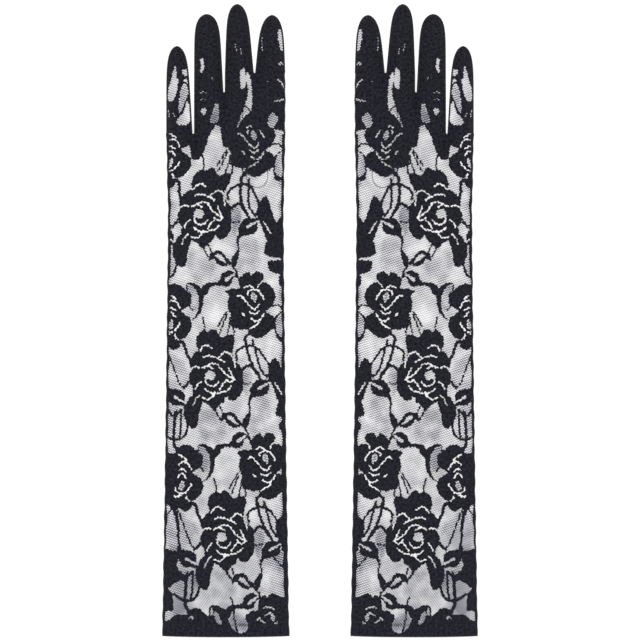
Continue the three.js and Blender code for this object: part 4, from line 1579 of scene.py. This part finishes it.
def make_hem(side):
    grid = hem_grid()
    parts = []
    for layer, height, outward in FACES:
        facing = -outward
        turned = lace_piece(side, f"hem_{layer}", grid, everywhere, height, facing)
        turned.data.materials.append(HEM_NET)
        threads = [hem_zigzag(side, layer, height, facing), hem_roll(side, layer, height)]
        for thread in threads:
            thread.data.materials.append(HEM)
        parts += [turned] + threads
    hem = sewn_together(parts, f"{side}_hem_cloth")
    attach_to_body(hem, "upper_arms")
    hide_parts(f"{side}_upper_arm_hem")
    return hem


print("stitches across a hem:", round(2 * ZIGZAG_REACH / (4 * ZIGZAG_STEP)))

# %% [markdown]
# ## The hand
#
# The hand's net ends in steps, one at the root of each finger, so it is three strips side by side:
# under the little finger, the ring finger, and the middle and index fingers. They are cut from one
# cloth and share their edges, and are joined into one sheet.

# %% Hand pieces
WELD = 0.00002


def hand_net(side, layer, height, facing):
    knuckles = [-KNUCKLE_HALF, FINGERS["ring"]["left"], FINGERS["middle"]["left"], KNUCKLE_HALF]
    tops = ROOTS[:3]
    strips = []
    for i, top in enumerate(tops):
        heights = [PIECE_JOIN] + tops[:i + 1]
        rows = [rows_between(*ends) for ends in zip(heights, heights[1:])]
        rows = np.concatenate(rows[:1] + [above[1:] for above in rows[1:]])

        def edges(y, i=i):
            """Strips share an edge, and past the crotch beside it a strip stands clear of it."""
            scale = (half_width(y) - NET_INSET) / KNUCKLE_HALF
            left = knuckles[i] * scale
            if i > 0:
                left = np.where(y > tops[i - 1], left + LACE_INSET, left)
            return left, knuckles[i + 1] * scale

        strips.append(net_sheet(side, f"hand_net_{layer}_{i}", rows, edges, height, facing))
    net = sewn_together(strips, f"{side}_hand_net_{layer}")
    net.modifiers.new("weld", "WELD").merge_threshold = WELD
    return net


def make_hand(side):
    nets, extras = {}, {}
    for layer, height, facing in FACES:
        net = hand_net(side, layer, height, facing)
        nets[layer] = attach(net, side, NET, [f"hand_{layer}"])
        extras[layer] = [flowers_on(side, "hand", layer, GRIDS[layer], hand_region, height, facing)]
    for name, sign, top in (("inner", 1, ROOTS[-1]), ("outer", -1, ROOTS[0])):
        ridge = seam_ridge(side, f"hand_{name}_overlock", side_path(sign, PIECE_JOIN, top))
        extras["back"].append(attach(ridge, side, SEAM, [f"hand_{name}_seam"]))
    return nets, extras


print("the strips of a hand's net end at y", ROOTS[:3])

# %% [markdown]
# ## Fingers and thumb
#
# Each finger is a narrow bag with a seam that runs up one side, round the tip and down the other. Its
# back and palm are rows of points that close up towards the round tip, where the outline turns fast.

# %% Finger pieces
TIP_ROWS, TIP_ROW_CROWDING = 44, 1.6
LEAST_HALF = 0.3
FINGER_NET_END = 0.992  # share of the length


def tip_rows(low, high):
    share = 1 - (1 - np.linspace(0, 1, TIP_ROWS)) ** TIP_ROW_CROWDING
    return low + (high - low) * share


def tip_seam(side, name, outline, height=SEAM_HEIGHT):
    path = np.concatenate([outline, np.zeros((len(outline), 1))], 1)
    return seam_ridge(side, f"{name}_overlock", even_steps(path, SEAM_STEP), height=height)


def make_finger(side, name):
    finger = FINGERS[name]

    def edges(y):
        share = np.clip((y - finger["root"]) / finger["length"], 0, 1)
        middle, half, _ = finger_side(name, share)
        half = np.maximum(half - NET_INSET, LEAST_HALF)
        return middle - half, middle + half

    rows = tip_rows(finger["root"], finger["root"] + finger["length"] * FINGER_NET_END)
    region = finger_region(name)
    nets, extras = {}, {}
    for layer, height, facing in (("back", finger_back_net(name), 1), ("palm", flat_at(PALM_NET), -1)):
        net = net_sheet(side, f"{name}_net_{layer}", rows, edges, height, facing)
        nets[layer] = attach(net, side, NET, [f"{name}_finger_{layer}"])
        extras[layer] = [flowers_on(side, name, layer, GRIDS[layer], region, height, facing)]
    ridge = tip_seam(side, name, round_tip(lambda share: finger_side(name, share), SEAM_MIDDLE))
    extras["back"].append(attach(ridge, side, SEAM, [f"{name}_finger_seam"]))
    return nets, extras


first_gap, *_, last_gap = np.diff(tip_rows(0, FINGERS["middle"]["length"]))
print("rows of net:", round(first_gap, 2), "mm apart at the root,", round(last_gap, 2), "at the tip")

# %% [markdown]
# The thumb is set into a hole in the palm, with a seam of its own round the hole, and lies folded
# under the palm. It is pressed flat there, so its two faces are level and lie close together.

# %% Thumb pieces
THUMB_LEVELS = (("back", 0.5, -1), ("front", 1.3, 1))  # height of each net, and the way it faces
THUMB_COLUMNS = 16
THUMB_NET_START, THUMB_NET_END = 0.3, 0.99
THUMB_SEAM_HEIGHT = 1.45


def thumb_edges(y):
    _, half, _ = thumb_side(np.clip(y / THUMB_LENGTH, 0, 1))
    half = np.maximum(half - NET_INSET, LEAST_HALF)
    return -half, half


def thumb_net(side, layer, level, facing):
    rows = tip_rows(THUMB_NET_START, THUMB_LENGTH * THUMB_NET_END)
    places, faces = sheet_grid(rows, thumb_edges, THUMB_COLUMNS)
    places = turn_thumb(places)
    points = np.concatenate([places, np.full((len(places), 1), level)], 1)
    return mesh_object(side, f"thumb_net_{layer}", points, [faces], places, outward=facing > 0)


def make_thumb(side):
    region = thumb_region()
    nets, extras = {}, {}
    for layer, level, facing in THUMB_LEVELS:
        net = thumb_net(side, layer, level, facing)
        nets[layer] = attach(net, side, NET, [f"thumb_{layer}"])
        flowers = flowers_on(side, "thumb", layer, GRIDS["palm"], region, flat_at(level), facing)
        extras[layer] = [flowers]
    ridge = tip_seam(side, "thumb", turn_thumb(round_tip(thumb_side, SEAM_MIDDLE)), THUMB_SEAM_HEIGHT)
    extras["front"].append(attach(ridge, side, SHEER, ["thumb_seam"]))
    return nets, extras


print("a thumb's nets lie", [level for _, level, _ in THUMB_LEVELS], "mm over the floor")

# %% Seam round the thumb hole
HOLE_HALF, HOLE_REACH = 8.5, 11.0
HOLE_SEAM_OUT = 1.0  # from the hole's edge to the middle of its seam
HOLE_SEAM_LEVEL = 2.0
HOLE_POINTS = 80


def make_thumb_hole(side):
    angle = np.linspace(0, 2 * np.pi, HOLE_POINTS, endpoint=False)
    across = (HOLE_HALF + HOLE_SEAM_OUT) * np.cos(angle)
    along = (HOLE_REACH + HOLE_SEAM_OUT) * np.sin(angle)
    oval = turn_thumb(np.stack([across, along], 1))
    path = np.concatenate([oval, np.full((HOLE_POINTS, 1), HOLE_SEAM_LEVEL)], 1)
    ridge = seam_ridge(side, "thumb_hole_overlock", path, closed=True, half=0.6, height=0.62)
    ridge.data.materials.append(SHEER)
    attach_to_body(ridge, f"{side}_hand")
    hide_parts(f"{side}_thumb_hole_seam")
    return ridge


print("thumb hole:", 2 * HOLE_HALF, "x", 2 * HOLE_REACH, "mm")

# %% [markdown]
# Both gloves are made by the same functions, the right one mirrored. Each part's nets are made
# together with its flowers and seams.


def make_part(side, part):
    if part == "arm":
        nets, extras = make_arm(side)
    elif part == "hand":
        nets, extras = make_hand(side)
        extras["palm"].append(make_thumb_hole(side))
    elif part == "thumb":
        nets, extras = make_thumb(side)
    else:
        nets, extras = make_finger(side, part)
    return nets, extras


def make_glove(side):
    made = []
    hem = make_hem(side)
    for part in ("arm", "hand", *FINGERS, "thumb"):
        nets, extras = make_part(side, part)
        if part == "arm":
            extras["back"].append(hem)
        for layer, net in nets.items():
            made.append(net)
    return made


for side in ("left", "right"):
    print(side, "glove:", len(make_glove(side)), "sheets")

# %% [markdown]
# ## Floor, light and camera
#
# The gloves lie on a pale floor under a broad, soft light from above, so their shadows stay close
# under them. The camera looks straight down through a long lens, from far away, so that it shows the
# whole pair with hardly any perspective.

# %% Floor
bpy.ops.mesh.primitive_plane_add(size=8.0, location=(0, 0, -0.0001))
floor = bpy.context.active_object
floor.name = "floor"
floor_paint, _, floor_shader = new_material("floor paint")
floor_shader.inputs["Base Color"].default_value = (0.93, 0.93, 0.93, 1)
floor_shader.inputs["Roughness"].default_value = 0.9
floor_shader.inputs["Specular IOR Level"].default_value = 0.1
floor.data.materials.append(floor_paint)
print("floor", floor.dimensions.x, "m across")

# %% Light
LAMP_HEIGHT = 3.3
LAMP_ACROSS = 0.4
LAMP_POWER = 100
SKY_STRENGTH = 0.35

world = bpy.data.worlds.new("studio")
bpy.context.scene.world = world
world.use_nodes = True
world.node_tree.nodes["Background"].inputs["Color"].default_value = (1, 1, 1, 1)
world.node_tree.nodes["Background"].inputs["Strength"].default_value = SKY_STRENGTH

lamp_data = bpy.data.lights.new("softbox", "AREA")
lamp_data.shape = "DISK"
lamp_data.size = LAMP_ACROSS
lamp_data.energy = LAMP_POWER
lamp = bpy.data.objects.new("softbox", lamp_data)
lamp.location = (0, 0, LAMP_HEIGHT)
bpy.context.scene.collection.objects.link(lamp)
bpy.context.scene.view_settings.view_transform = "Standard"
print("lamp", LAMP_HEIGHT, "m up and", LAMP_ACROSS, "m across")

# %% Camera
VIEW_ACROSS = 0.557
LENS = 200.0
camera_data = bpy.data.cameras.new("camera")
camera_data.lens = LENS
camera = bpy.data.objects.new("camera", camera_data)
camera.location = (0, 0, VIEW_ACROSS * LENS / camera_data.sensor_width)
bpy.context.scene.collection.objects.link(camera)
bpy.context.scene.camera = camera
print("camera", round(camera.location.z, 3), "m over the floor")
